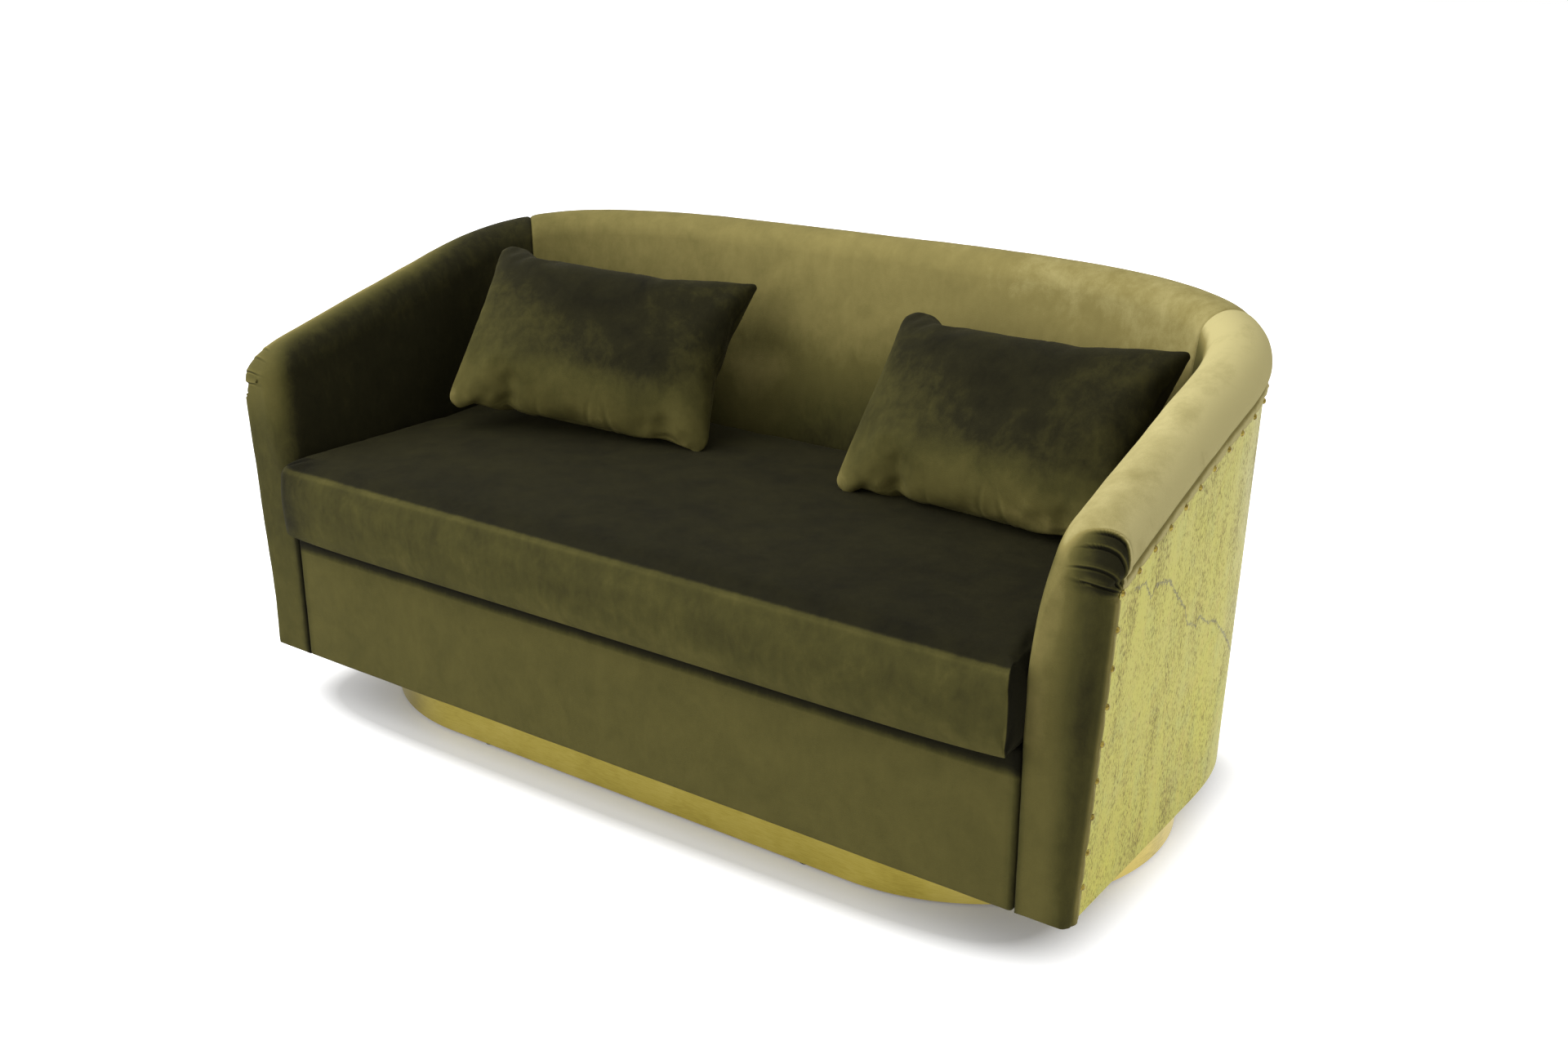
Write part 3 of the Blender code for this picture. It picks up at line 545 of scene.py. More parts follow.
def wall_cover(piece, u, angle_share, face_share):
    """Shape the part of a cover that lies on the tub's wall, and note what its places are."""
    travel = travel_at(u)
    offset, z, angle = velvet_section(u, angle_share, face_share, seam_dip(travel))
    outside = (angle < LOW_ROLL) & (face_share == 0)
    set_points(piece, wall_points(u, np.where(outside, over_lip(u, z, offset), offset), z))
    above = np.maximum(z - (rim_height(u) - LIP_DROP), 0)
    note(piece, travel=travel, across=angle + face_share, face=face_share, above=above)


def off_pitch(distance, pitch):
    """Distance to the nearest of the places that repeat at a pitch."""
    return np.abs((distance + pitch / 2) % pitch - pitch / 2)


def nail_pull(to_nail, above, by_edge):
    """Relief along a cover's edge: a little slack between the nails and drawn in at each of them."""
    return by_edge * (0.0006 - 0.0018 * bell(to_nail, 0.008)) * bell(above - 0.004, 0.006)


def finish_cover(piece):
    """Turn a cover's faces out and give it a lining behind."""
    turn_out(piece)
    give_wall(piece, COVER)
    apply_modifiers(piece)
    bpy.ops.object.shade_smooth()
    piece.data.materials.append(wall_velvet)


def upholster(piece, node):
    """Velvet over firm padding, in place of a solid of the sofa."""
    stand_in(piece, node, "sofa")


# The pile: blotches where it is brushed about, finer streaks, and single tufts; one group feeds every
# velvet piece with the colour for a value on each vertex, which gives the way the pile lies together with
# the light and shade painted onto that piece.
pile, pile_in, pile_out = new_group(
    "velvet_pile",
    [("Pile and Painted Light", "NodeSocketFloat", 0.5), ("Blotch", "NodeSocketFloat", 0.3)])
place = stretched(pile, (1, 1, 1))
blotch = sums(pile, "SUBTRACT", speckle(pile, place, 11, 4, 0.55, 0.7), 0.5)
patch = sums(pile, "SUBTRACT", speckle(pile, place, 36, 3, 0.6, 0.5), 0.5)
streak = sums(pile, "SUBTRACT", speckle(pile, stretched(pile, (1, 1, 0.5)), 60, 4, 0.65, 0.4), 0.5)
tuft = sums(pile, "SUBTRACT", speckle(pile, place, 1100, 2, 0.6), 0.5)
rough_edge = sums(pile, "MULTIPLY", sums(pile, "SUBTRACT", pile_in.outputs["Pile and Painted Light"], 0.12),
                  sums(pile, "SUBTRACT", 0.50, pile_in.outputs["Pile and Painted Light"]))
rough_edge = sums(pile, "MULTIPLY_ADD", sums(pile, "MAXIMUM", rough_edge, 0.0), 6.0, 0.10)
brushed = sums(pile, "MULTIPLY_ADD", patch, 0.42, blotch)
lying = sums(pile, "MULTIPLY_ADD", brushed, pile_in.outputs["Blotch"], pile_in.outputs["Pile and Painted Light"])
lying = sums(pile, "MULTIPLY_ADD", sums(pile, "MULTIPLY", streak, rough_edge), 0.8, lying)
lying = sums(pile, "MULTIPLY_ADD", tuft, 0.08, lying)
wire(pile, shades(pile, lying, [(0.00, (0.0085, 0.0078, 0.0034)), (0.20, (0.025, 0.0228, 0.0086)),
                                (0.45, (0.082, 0.074, 0.021)), (0.65, (0.152, 0.132, 0.039)),
                                (0.85, (0.345, 0.288, 0.098)), (1.00, (0.700, 0.615, 0.280))]),
     pile_out.inputs["Color"])
wire(pile, sums(pile, "MULTIPLY_ADD", blotch, 0.15, 0.85), pile_out.inputs["Roughness"])
wire(pile, tuft, pile_out.inputs["Height"])


def velvet_material(name, blotch_share):
    """Short cut pile: matt, with a sheen where it is seen along the surface."""
    material, tree, shader = new_material(name, pile, {"Blotch": blotch_share}, sheen_weight=0.06,
                                          sheen_roughness=0.30, sheen_tint=(0.85, 0.78, 0.40, 1))
    shader.inputs["Specular IOR Level"].default_value = 0.08
    effect = next(node for node in tree.nodes if node.type == "GROUP")
    # Each piece's own value on its vertices gives both the way its pile lies and the light and shade
    # painted onto it.
    lay = put(tree, "ShaderNodeAttribute", attribute_name="lay")
    wire(tree, lay.outputs["Fac"], effect.inputs["Pile and Painted Light"])
    return material


wall_velvet = velvet_material("olive_velvet_wall", 0.16)

# Each pleat: its direction from the brass corner in degrees, the drift of that for each millimetre
# inwards, its length and its depth.
PLEATS = ((96.0, 0.25, 0.046, 1.2), (79.0, 0.20, 0.060, 1.0),
          (50.0, 0.10, 0.060, 0.8), (26.0, -0.05, 0.060, 0.8))
FAN_RADIUS = 0.085

# What differs between the right arm (1) and the left one (-1): the pleats and the painted shade over
# their fan, how far the front's edge is rounded inside and outside, how proud and square its outside stands
# over the brass, and the painted shade beside the apron.
ARMS = {
    1: {"pleats": 1.0, "pleat_painted_shade": 0.92, "fine_radius": 0.062, "upper_edge": 0.043, "upper_depth": 0.070,
        "outer_edge": 0.032, "outer_proud": 0.0035, "outer_square": 0.10, "apron_painted_shade": 0.22},
    -1: {"pleats": 0.5, "pleat_painted_shade": 0.0, "fine_radius": 0.054, "upper_edge": 0.040, "upper_depth": 0.040,
         "outer_edge": 0.020, "outer_proud": 0.0105, "outer_square": 0.25, "apron_painted_shade": 0.28}}
LOWER_EDGE = 0.007
OUTER_DEPTH = 0.034
TOP_DROP = 0.043
TOP_DEPTH = 0.082
NEAR_END = 0.110
NEAR_ROWS = 30
LOW_COLUMNS = 26
SIDE_COLUMNS = FACE_COLUMNS + LOW_COLUMNS
BOTTOM_COLUMNS = 14
TURN_ROWS = 46
FLAT_ROWS = 14


def pleat_fan(points, corner, strength):
    """The fan of pleats over an arm's front end: creases that run in from the brass corner, each with
    a ridge above it. Returns the relief, a painted highlight along each ridge with painted shade in each
    crease, and how far each place is inside the fan."""
    up = points[:, 2] - corner[2]
    ahead = corner[1] - points[:, 1]
    turn = np.degrees(np.arctan2(up, ahead))
    radius = np.hypot(up, ahead)
    inward = np.maximum(np.abs(corner[0]) - np.abs(points[:, 0]), 0)
    relief = np.zeros(len(points))
    shade = np.zeros(len(points))
    within = 1 - eased((radius - FAN_RADIUS) / 0.03)
    near = eased((radius - 0.004) / 0.010) * within
    for place, drift, length, depth in PLEATS:
        gap = np.radians(turn - place + drift * inward * 1000) * radius
        fade = near * depth * (1 - eased((inward - length * 0.35) / (length * 0.65)))
        relief += fade * (0.0015 * bell(gap - 0.0038, 0.0030) - 0.0032 * bell(gap, 0.0014)
                          - 0.0007 * bell(gap + 0.005, 0.005))
        # Painted highlight on each ridge and painted shade in each crease.
        shade += fade * (0.36 * bell(gap - 0.0030, 0.0013) - 0.16 * bell(gap, 0.0013))
    relief -= 0.003 * bell(radius, 0.007) * bell(inward, 0.012)
    inside = eased((turn - 2) / 20) * (1 - eased((turn - 95 + 250 * inward) / 7))
    inside = inside * (1 - eased((inward - 0.018) / 0.046)) * within
    return relief * strength, shade * strength, inside * eased((radius - 0.004) / 0.016)


def front_round(side, angle, face, outer, top, inner):
    """How far an arm's front is rounded off, round its edge: from the outside over the top to the inside,
    where it is drawn in to the narrow edge beside the seat."""
    edge = inner + (outer - inner) * (1 + np.cos(angle)) / 2
    edge = edge + (top - edge) * np.maximum(0, np.sin(angle)) ** 2
    edge = np.where(face > 0, inner, edge)
    drawn = eased((face - 0.30) / 0.60)
    if side > 0:
        past = np.where(face > 0, face * (RIM_RISE[0] - DECK_Z), ROLL * (angle - angle.max()))
        drawn = 1 - np.exp(-0.2 * np.logaddexp(0, (past + 0.012) / 0.008))
    return edge + (LOWER_EDGE - edge) * drawn


def arm_wall(name, side):
    """The part of an arm's cover on the wall, from the rounding of the front to the rear seam."""
    near = np.linspace(0, 1, NEAR_ROWS)
    straight = np.concatenate([spaced(0.112, 0.200, 0.0045), spaced(0.2055, SIDE_RUN, 0.0065)])
    bend = spaced(np.interp(1, 2 - EDGE_U, EDGE_TRAVEL), SEAM_TRAVEL - 0.018, 0.0065)[1:]
    bend = np.concatenate([bend, SEAM_TRAVEL - SEAM_GAP - SEAM_STEPS[::-1]])
    piece, column, row = grid_piece(name, len(wall_angle), len(near) + len(straight) + len(bend))
    angle_share = wall_angle[column]
    face_share = wall_face[column]
    first = velvet_section(2 + 0 * angle_share, angle_share, face_share)[2]
    begin = front_round(side, first, face_share, OUTER_DEPTH, TOP_DEPTH, ARMS[side]["upper_depth"])
    behind = row - NEAR_ROWS
    y = begin + (NEAR_END - begin) * near[np.minimum(row, NEAR_ROWS - 1)]
    y = np.where(behind >= 0, straight[np.clip(behind, 0, len(straight) - 1)], y)
    bent = behind - len(straight)
    u = np.where(bent >= 0, u_at(bend[np.clip(bent, 0, len(bend) - 1)]), 2 - y / SIDE_RUN)
    wall_cover(piece, u, angle_share, face_share)
    note(piece, front=np.zeros(len(u)))
    return piece


def arm_front(name, side):
    """The front of an arm's cover. Its columns go up the outside, over the roll, down the inside and
    back along the foot; its rows turn from there round the edge and close on a middle line."""
    arm = ARMS[side]
    ring = 2 * SIDE_COLUMNS + ARC_COLUMNS + BOTTOM_COLUMNS
    front, column, row = grid_piece(name + "_front", ring + 1, TURN_ROWS + FLAT_ROWS + 1)
    column = column % ring
    arc = column - SIDE_COLUMNS
    inner = arc - ARC_COLUMNS
    on_outer = arc < 0
    on_arc = (arc >= 0) & (inner < 0)
    on_bottom = inner >= SIDE_COLUMNS
    on_inner = (inner >= 0) & ~on_bottom
    face_share = np.where(on_inner, np.clip((inner + 1) / FACE_COLUMNS, 0, 1), 0)
    over_roll = np.where(on_arc, arc_share[np.clip(arc, 0, ARC_COLUMNS - 1)], 1.0)
    angle_share = np.where(on_outer, 0.0, over_roll)
    bottom_share = np.clip(inner - SIDE_COLUMNS + 1, 0, BOTTOM_COLUMNS) / BOTTOM_COLUMNS
    up = column / SIDE_COLUMNS

    first = velvet_section(2 + 0 * angle_share, angle_share, face_share)[2]
    depth = front_round(side, first, face_share, OUTER_DEPTH, TOP_DEPTH, arm["upper_depth"])
    inset = front_round(side, first, face_share, arm["outer_edge"], TOP_DROP, arm["upper_edge"])
    depth = np.where(on_bottom, LOWER_EDGE + (depth[on_outer][0] - LOWER_EDGE) * bottom_share, depth)
    inset = np.where(on_outer, inset * (0.40 + 0.60 * eased(up / 0.22)), inset)
    turn = np.minimum(row / TURN_ROWS, 1) * math.pi / 2
    flat = np.clip((row - TURN_ROWS) / FLAT_ROWS, 0, 1)
    by_outside = np.where(on_arc, np.clip(1 - 4 * arc / ARC_COLUMNS, 0, 1), bottom_share)
    power = 1 - arm["outer_square"] * np.where(on_outer, 1.0, by_outside)
    y = depth * (1 - np.sin(turn) ** power)
    u = 2 - y / SIDE_RUN

    offset, z, _ = velvet_section(u, angle_share, face_share)
    edge_z = rim_height(u) - LIP_DROP
    z = np.where(on_outer, COVER_FOOT + (edge_z - COVER_FOOT) * up, z)
    fuller = 0.0014 * np.sin(math.pi * np.clip(up, 0, 1))
    offset = np.where(on_outer, brass_offset(u, z) + arm["outer_proud"] + fuller, offset)
    offset = np.where(on_arc & (first < LOW_ROLL), over_lip(u, z, offset), offset)
    below_deck = np.clip(inner + 1 - FACE_COLUMNS, 0, LOW_COLUMNS) / LOW_COLUMNS
    z = np.where(on_inner, z + (COVER_FOOT - DECK_Z) * below_deck, z)
    z = np.where(on_bottom, COVER_FOOT, z)

    rise = np.where(on_inner, 1 - (inner + 1) / SIDE_COLUMNS, 0.0)
    rise = np.where(on_outer, up, np.where(on_arc, 1.0, rise))
    middle_foot = COVER_FOOT + 0.034
    middle_z = middle_foot + (RIM_RISE[0] - middle_foot) * rise
    middle = (brass_offset(2.0, BODY_Z) - wall_offsets(2.0)[1]) / 2 * (1 - rise)
    aim_z = z + (middle_z - z) * eased((rise - 0.5) / 0.5)
    moved = inset * (1 - np.abs(np.cos(turn)) ** power) / np.hypot(middle - offset, aim_z - z)
    x = offset + (middle - offset) * moved
    z_now = z + np.where(on_bottom, 0.0, (aim_z - z) * moved)
    gone = BRASS_FRONT - y
    lip = brass_offset(u, z) + edge_lip(gone)
    x = np.where(on_outer & (gone < 0.026), lip + (x - lip) * eased((gone - 0.014) / 0.011), x)
    table = np.zeros((TURN_ROWS + FLAT_ROWS + 1, ring))
    table[row, column] = x
    inner_end = table[row, 2 * SIDE_COLUMNS + ARC_COLUMNS - 1]
    x = np.where(on_bottom, inner_end + (table[row, 0] - inner_end) * bottom_share, x)
    z_now = z_now + 0.005 * (1 - np.cos(turn)) * bell(z - COVER_FOOT, 0.006)
    x = x + (middle - x) * flat
    z_now = z_now + (middle_z - z_now) * flat
    bulge = np.cos(np.clip((x + 0.012) / 0.050, -1, 1) * math.pi / 2) * np.sin(turn) ** 4
    set_points(front, np.stack([rim_plan(u)[0] + x, FRONT_Y + y - 0.0012 * bulge, z_now], axis=-1))
    note(front, travel=np.zeros(len(u)), across=first + face_share, face=face_share,
         above=np.where(on_outer | on_bottom, gone, 1.0), front=np.sin(turn) + flat)
    return front


def work_arm(piece, side):
    """Press pleats, nail pulls and unevenness into an arm's cover. Returns the light and shade painted for
    that relief and how far each place is inside the fan."""
    points = points_of(piece)
    relief, shade, in_fan = pleat_fan(points, EDGE_LINE[0] * np.array([side, 1, 1]), ARMS[side]["pleats"])
    above = noted(piece, "above")
    on_front = noted(piece, "front") > 0
    to_nail = np.where(on_front, off_pitch(FRONT_NAIL_Z[0] - points[:, 2], FRONT_PITCH),
                       off_pitch(noted(piece, "travel") - NAIL_TRAVEL[0], NAIL_PITCH))
    by_edge = (noted(piece, "face") == 0) & (above < EDGE_BAND)
    relief += nail_pull(to_nail, above, by_edge)
    hem = 0.7 + 0.6 * lump(points * np.array([0, 0, 1]), 40, 5)
    relief += by_edge * on_front * 0.0016 * bell(above - 0.0125, 0.0028) * hem
    relief += 0.0009 * lump(points, 9, 1) + 0.0004 * lump(points, 31, 2)
    relief *= eased((points[:, 2] - COVER_FOOT) / 0.018)
    before = normals_of(piece)
    set_points(piece, points + before * relief[:, None])
    # Painted light and shade for the relief: places tilted up, forwards and in towards the seat are painted
    # paler, those tilted away and the dents darker.
    tilt = (normals_of(piece) - before) @ np.array([-0.30 * side, -0.30, 0.90])
    detail = np.clip(0.42 * tilt + 30 * np.clip(relief, -0.004, 0), -0.3, 0.35)
    middle_top = np.array([side * RIM_HALF_FRONT, FRONT_Y, RIM_RISE[0]])
    detail = detail * eased((np.linalg.norm(points - middle_top, axis=1) - 0.002) / 0.008)
    return detail + shade, in_fan


def make_arm(name, side, lay_of):
    """One arm's cover: its wall part, joined to the front that closes it."""
    arm = ARMS[side]
    piece = arm_wall(name, side)
    front = arm_front(name, side)
    make_active(piece)
    front.select_set(True)
    bpy.ops.object.join()
    pick(piece)
    bpy.ops.mesh.remove_doubles(threshold=0.00005)
    leave_edit()
    fan_middle = EDGE_LINE[0] - np.array([0.015, 0, 0])
    pick(piece, np.linalg.norm(points_of(piece) - fan_middle, axis=1) < arm["fine_radius"])
    bpy.ops.mesh.subdivide(number_cuts=1, smoothness=0)
    leave_edit()
    pick(piece, (noted(piece, "front") > 0.93) & (points_of(piece)[:, 2] > BODY_Z + 0.016))
    bpy.ops.mesh.vertices_smooth(factor=0.5, repeat=12)
    bpy.ops.mesh.select_all(action="SELECT")
    if side < 0:
        bpy.ops.transform.mirror(constraint_axis=(True, False, False), center_override=(0, 0, 0))
    bpy.ops.mesh.normals_make_consistent(inside=False)
    leave_edit()
    detail, in_fan = work_arm(piece, side)
    points = points_of(piece)
    lay = lay_of(piece, points)
    # Painted shade over the fan of pleats, darkest by the brass corner.
    inward = EDGE_LINE[0][0] - np.abs(points[:, 0])
    among_pleats = 0.12 + 0.26 * eased(inward / 0.055)
    lay = lay + in_fan * (among_pleats - lay) * arm["pleat_painted_shade"]
    # Painted shade in the joint beside the apron, below the cushion.
    by_apron = bell(np.abs(points[:, 0]) - SEAT_HALF_WIDTH, 0.008) * (points[:, 2] < 0.33)
    note(piece, lay=lay + detail - arm["apron_painted_shade"] * by_apron)
    finish_cover(piece)
    return piece


# The value for the pile runs from 0, nearly black, over olive at 0.5 to pale gold at 1. It gives the way
# the pile lies together with painted light and shade: paler where the surface faces the light above, in
# front and to the left, darker where it turns away, tucks under or lies in another part's shadow. It is set
# by the angle over the roll in degrees, the share down the inner face, the distance along the rim and the
# height.
def right_lay(piece, points):
    """Pale along the roll, with painted shade where it turns under and down the inside, olive on the front.
    """
    across = np.degrees(noted(piece, "across"))
    above = noted(piece, "above")
    face = noted(piece, "face")
    roll = 0.935 + 0.065 * eased(noted(piece, "travel") / 0.45)
    roll = roll + 0.06 * (1 - eased((across - 30) / 50))
    # Painted shade where the roll turns under to the brass and where it runs down the inner face.
    roll = roll - 0.16 * (1 - eased((across + 40) / 45)) - 0.30 * eased((across - 140) / 40)
    # A painted highlight on the lip by the brass, with painted shade in the crease above it.
    roll = roll + (0.16 * bell(above - 0.0075, 0.0065) - 0.15 * bell(above - 0.0185, 0.0060)) * (face == 0)
    roll = np.where(face > 0, 0.62 - 0.3 * face, roll)
    wide = np.clip((np.abs(points[:, 0]) - 0.700) / 0.085, 0, 1)
    height = np.clip((points[:, 2] - BODY_Z) / 0.46, 0, 1)
    # The front: painted light at the top, which faces the light, and painted shade on the outer rounding,
    # turned away from it.
    ahead = 0.60 + 0.12 * eased((height - 0.70) / 0.30)
    ahead = ahead - 0.36 * eased((wide - 0.30) / 0.55) * (0.6 + 0.4 * height)
    # Painted light beside the cushion, against the shadow the cushion casts on the front.
    beside_cushion = eased((points[:, 2] - 0.29) / 0.07) * (1 - eased((points[:, 2] - 0.47) / 0.06))
    ahead = ahead + 0.12 * beside_cushion * (1 - eased((wide - 0.05) / 0.40))
    # A painted highlight on the lip along the front's outer edge.
    ahead = ahead + 0.26 * bell(above - 0.0125, 0.0040) * (wide > 0.5)
    begin = 0.50 * eased((points[:, 2] - EDGE_Z[0]) / 0.03)
    return roll + (ahead - roll) * eased((noted(piece, "front") - begin) / (0.97 - begin))


def left_lay(piece, points):
    """Nearly black on the inside, partly the pile and partly painted shade; olive on the front, pale along
    the outside of the roll.
    """
    across = np.degrees(noted(piece, "across"))
    face = noted(piece, "face")
    travel = noted(piece, "travel")
    turned = 58 * eased((travel - 0.32) / 0.25)
    # Painted shade where the roll turns under to the brass and over towards the inner face.
    roll = 0.84 - 0.25 * (1 - eased((across + 12) / 40)) - 0.62 * eased((across - 58 + turned) / 90)
    # A painted highlight on the lip by the brass.
    roll = roll + 0.15 * bell(noted(piece, "above") - 0.006, 0.006) * (face == 0)
    inside = 0.18 + 0.06 * eased((travel - 0.33) / 0.30) * (1 - 0.6 * face)
    lay = np.where(face > 0, inside, np.maximum(roll, inside))
    ahead = 0.475 - 0.095 * eased((points[:, 2] - 0.16) / 0.22)
    # Painted light at the top of the front, which faces the light.
    ahead = ahead + 0.22 * eased((points[:, 2] - 0.47) / 0.10)
    return lay + (ahead - lay) * eased((noted(piece, "front") - 0.08) / 0.80)


upholster(make_arm("left_arm_cover", -1, left_lay), "left_arm_upholstery")
upholster(make_arm("right_arm_cover", 1, right_lay), "right_arm_upholstery")

half_row = np.concatenate([SEAM_TRAVEL + SEAM_GAP + SEAM_STEPS,
                           spaced(SEAM_TRAVEL + 0.018, EDGE_TRAVEL[-1], 0.0085)])
half_u = u_at(half_row)
back_u = np.concatenate([half_u, -half_u[::-1][1:]])
back, column, row = grid_piece("back_cover", len(wall_angle), len(back_u))
wall_cover(back, back_u[row], wall_angle[column], wall_face[column])
points = points_of(back)
relief = 0.0010 * lump(points, 7, 3) + 0.0004 * lump(points, 29, 4)
to_nail = off_pitch(noted(back, "travel") - NAIL_TRAVEL[0], NAIL_PITCH)
above = noted(back, "above")
face = noted(back, "face")
relief += nail_pull(to_nail, above, (face == 0) & (above < EDGE_BAND))
turn_out(back)
set_points(back, points + normals_of(back) * relief[:, None])
across = np.degrees(noted(back, "across"))
to_right = points[:, 0] / 0.75
# Paler to the right and darker down the inner face towards the seat: the pile with painted light and shade.
lay = 0.81 + 0.09 * to_right - 0.23 * face - 0.34 * eased((face - 0.22) / 0.5)
# Painted shade where the roll turns under to the brass.
lay = lay - 0.30 * (1 - eased((across + 12) / 40)) * (face == 0)
# Painted light to the right of the left pillow, against the shadow it casts on the back.
lay = lay + 0.28 * bell(points[:, 0] + 0.19, 0.09) * eased((face - 0.32) / 0.16)
# A painted highlight on the lip by the brass.
note(back, lay=lay + 0.22 * bell(above - 0.006, 0.006) * (face == 0))
finish_cover(back)
upholster(back, "back_upholstery")

# Apron: a padded velvet panel stapled to the front rail, in the plane of the arm fronts, drawn tight
# between them and a little puckered along its top under the cushion.
APRON_HALF = 0.6888
APRON_TOP = 0.3247
APRON_DEPTH = 0.034
APRON_STEP = 0.009
APRON_PUCKERS = (-0.562, -0.533, -0.462, -0.21, 0.12, 0.41)
bpy.ops.mesh.primitive_cube_add(size=1, scale=(2 * APRON_HALF, APRON_DEPTH, APRON_TOP - COVER_FOOT),
                                location=(0, FRONT_Y + APRON_DEPTH / 2, (COVER_FOOT + APRON_TOP) / 2))
apron = bpy.context.object
apron.name = "apron_cover"
bpy.ops.object.transform_apply(location=True, rotation=True, scale=True)
soft = apron.modifiers.new("soft edges", "BEVEL")
soft.width = 0.007
soft.segments = 4
apply_modifiers(apron)
for axis, first, last in ((0, -APRON_HALF, APRON_HALF), (2, COVER_FOOT, APRON_TOP)):
    for cut in spaced(first + 0.008, last - 0.008, APRON_STEP):
        pick(apron)
        way = np.eye(3)[axis]
        bpy.ops.mesh.bisect(plane_co=cut * way, plane_no=way)
        leave_edit()
points = points_of(apron)
ahead = np.clip((FRONT_Y + 0.012 - points[:, 1]) / 0.012, 0, 1)
level = (points[:, 2] - COVER_FOOT) / (APRON_TOP - COVER_FOOT)
from_side = np.abs(points[:, 0]) - APRON_HALF
relief = 0.0022 * np.sin(math.pi * np.clip(level, 0, 1)) * (1 - bell(from_side, 0.05))
relief += 0.0010 * lump(points, 8, 6) + 0.0003 * lump(points, 34, 7)
below = APRON_TOP - points[:, 2]
for place in APRON_PUCKERS:
    relief -= 0.0028 * bell(points[:, 0] - place - 0.25 * below, 0.0035) * bell(0.004 - below, 0.014)
points[:, 1] -= relief * ahead
set_points(apron, points)
# Painted shade in the joints beside the arms, and a painted shadow in a band under the cushion's overhang.
by_side = bell(from_side, 0.007)
by_top = 1 - eased((below - 0.030) / 0.010)
note(apron, lay=0.545 + 0.025 * points[:, 0] / APRON_HALF - 0.26 * by_side - 0.52 * by_top)
bpy.ops.object.shade_smooth()
apron.data.materials.append(wall_velvet)
upholster(apron, "front_apron")

# Cladding: three sheets of brass, aged and speckled, bent round the plywood walls. They butt at the
# rear corners, and their top and front edges are nailed down over the edge of the velvet.
SHEET_STEP = 0.0078
SHEET_LEVELS = 60
SHEET_WAVE = 0.0006
FRONT_WAVE = 0.0007
aged, tree, shader = new_material("aged_brass", metallic=1.0)
plain = stretched(tree, (1, 1, 1))
flecks = speckle(tree, stretched(tree, (1, 1, 0.34)), 420, 3, 0.70)
bands = speckle(tree, stretched(tree, (1, 1, 0.22)), 22, 3, 0.55)
cloud = speckle(tree, plain, 7, 4, 0.6, 0.6)
fleck_mask = shades(tree, sums(tree, "MULTIPLY_ADD", bands, 0.40, flecks),
                    [(0.70, (0, 0, 0)), (0.86, (1, 1, 1))])
metal = shades(tree, cloud, [(0.30, (0.41, 0.380, 0.040)), (0.50, (0.46, 0.430, 0.053)),
                             (0.72, (0.52, 0.500, 0.075))])
rust = speckle(tree, stretched(tree, (1, 1, 0.45)), 70, 3, 0.6)
metal = blended(tree, shades(tree, rust, [(0.50, (0, 0, 0)), (0.75, (0.40, 0.40, 0.40))]),
                metal, (0.46, 0.33, 0.060))
verdigris = speckle(tree, stretched(tree, (1, 1, 0.6)), 31, 3, 0.6)
metal = blended(tree, shades(tree, verdigris, [(0.50, (0, 0, 0)), (0.72, (0.45, 0.45, 0.45))]),
                metal, (0.39, 0.42, 0.100))
spot = axes(tree)
metal = blended(tree, ranged(tree, spot["Z"], 0.12, 0.62, 0.0, 0.45), metal, (0.28, 0.250, 0.048))
stained = blended(tree, sums(tree, "MULTIPLY", fleck_mask, 0.72), metal, (0.12, 0.080, 0.035))

# A crack in the patina runs across the right sheet, from the top front down to the rear corner. Its
# points are shares of the run in VEIN_Y and of the rise in VEIN_Z.
VEIN_Y = (-0.30, 0.22)
VEIN_Z = (0.24, 0.56)
VEIN = ((0.056, 0.922), (0.118, 0.908), (0.163, 0.817), (0.185, 0.858), (0.280, 0.833), (0.379, 0.689),
        (0.425, 0.626), (0.451, 0.548), (0.526, 0.484), (0.542, 0.520), (0.614, 0.451), (0.669, 0.429),
        (0.789, 0.282), (0.885, 0.156), (0.942, 0.085))
course = put(tree, "ShaderNodeFloatCurve")
line = course.mapping.curves[0].points
line[0].location = VEIN[0]
line[1].location = VEIN[-1]
for place in VEIN[1:-1]:
    line.new(*place)
for point in line:
    point.handle_type = "VECTOR"
course.mapping.update()
along = ranged(tree, spot["Y"], *VEIN_Y)
wire(tree, along, course.inputs["Value"])
jitter = sums(tree, "SUBTRACT", speckle(tree, plain, 130, 4, 0.75), 0.5)
line_z = sums(tree, "MULTIPLY_ADD", course.outputs[0], VEIN_Z[1] - VEIN_Z[0],
              sums(tree, "MULTIPLY_ADD", jitter, 0.026, VEIN_Z[0]))
off_line = sums(tree, "ABSOLUTE", sums(tree, "SUBTRACT", spot["Z"], line_z), 0.0)
vein_mask = sums(tree, "MULTIPLY", ranged(tree, off_line, 0.0005, 0.0032, 0.8, 0.0),
                 ranged(tree, along, 0.03, 0.06))
vein_mask = sums(tree, "MULTIPLY", vein_mask, sums(tree, "LESS_THAN", along, 0.95))
vein_mask = sums(tree, "MULTIPLY", vein_mask, sums(tree, "GREATER_THAN", spot["X"], 0.4))
stained = blended(tree, vein_mask, stained, (0.10, 0.085, 0.045))
wire(tree, stained, shader.inputs["Base Color"])
dull = sums(tree, "MULTIPLY_ADD", cloud, 0.25, 0.30)
wire(tree, sums(tree, "MULTIPLY_ADD", fleck_mask, 0.2, dull), shader.inputs["Roughness"])
bumped(tree, shader, flecks, 0.15, 0.0005)


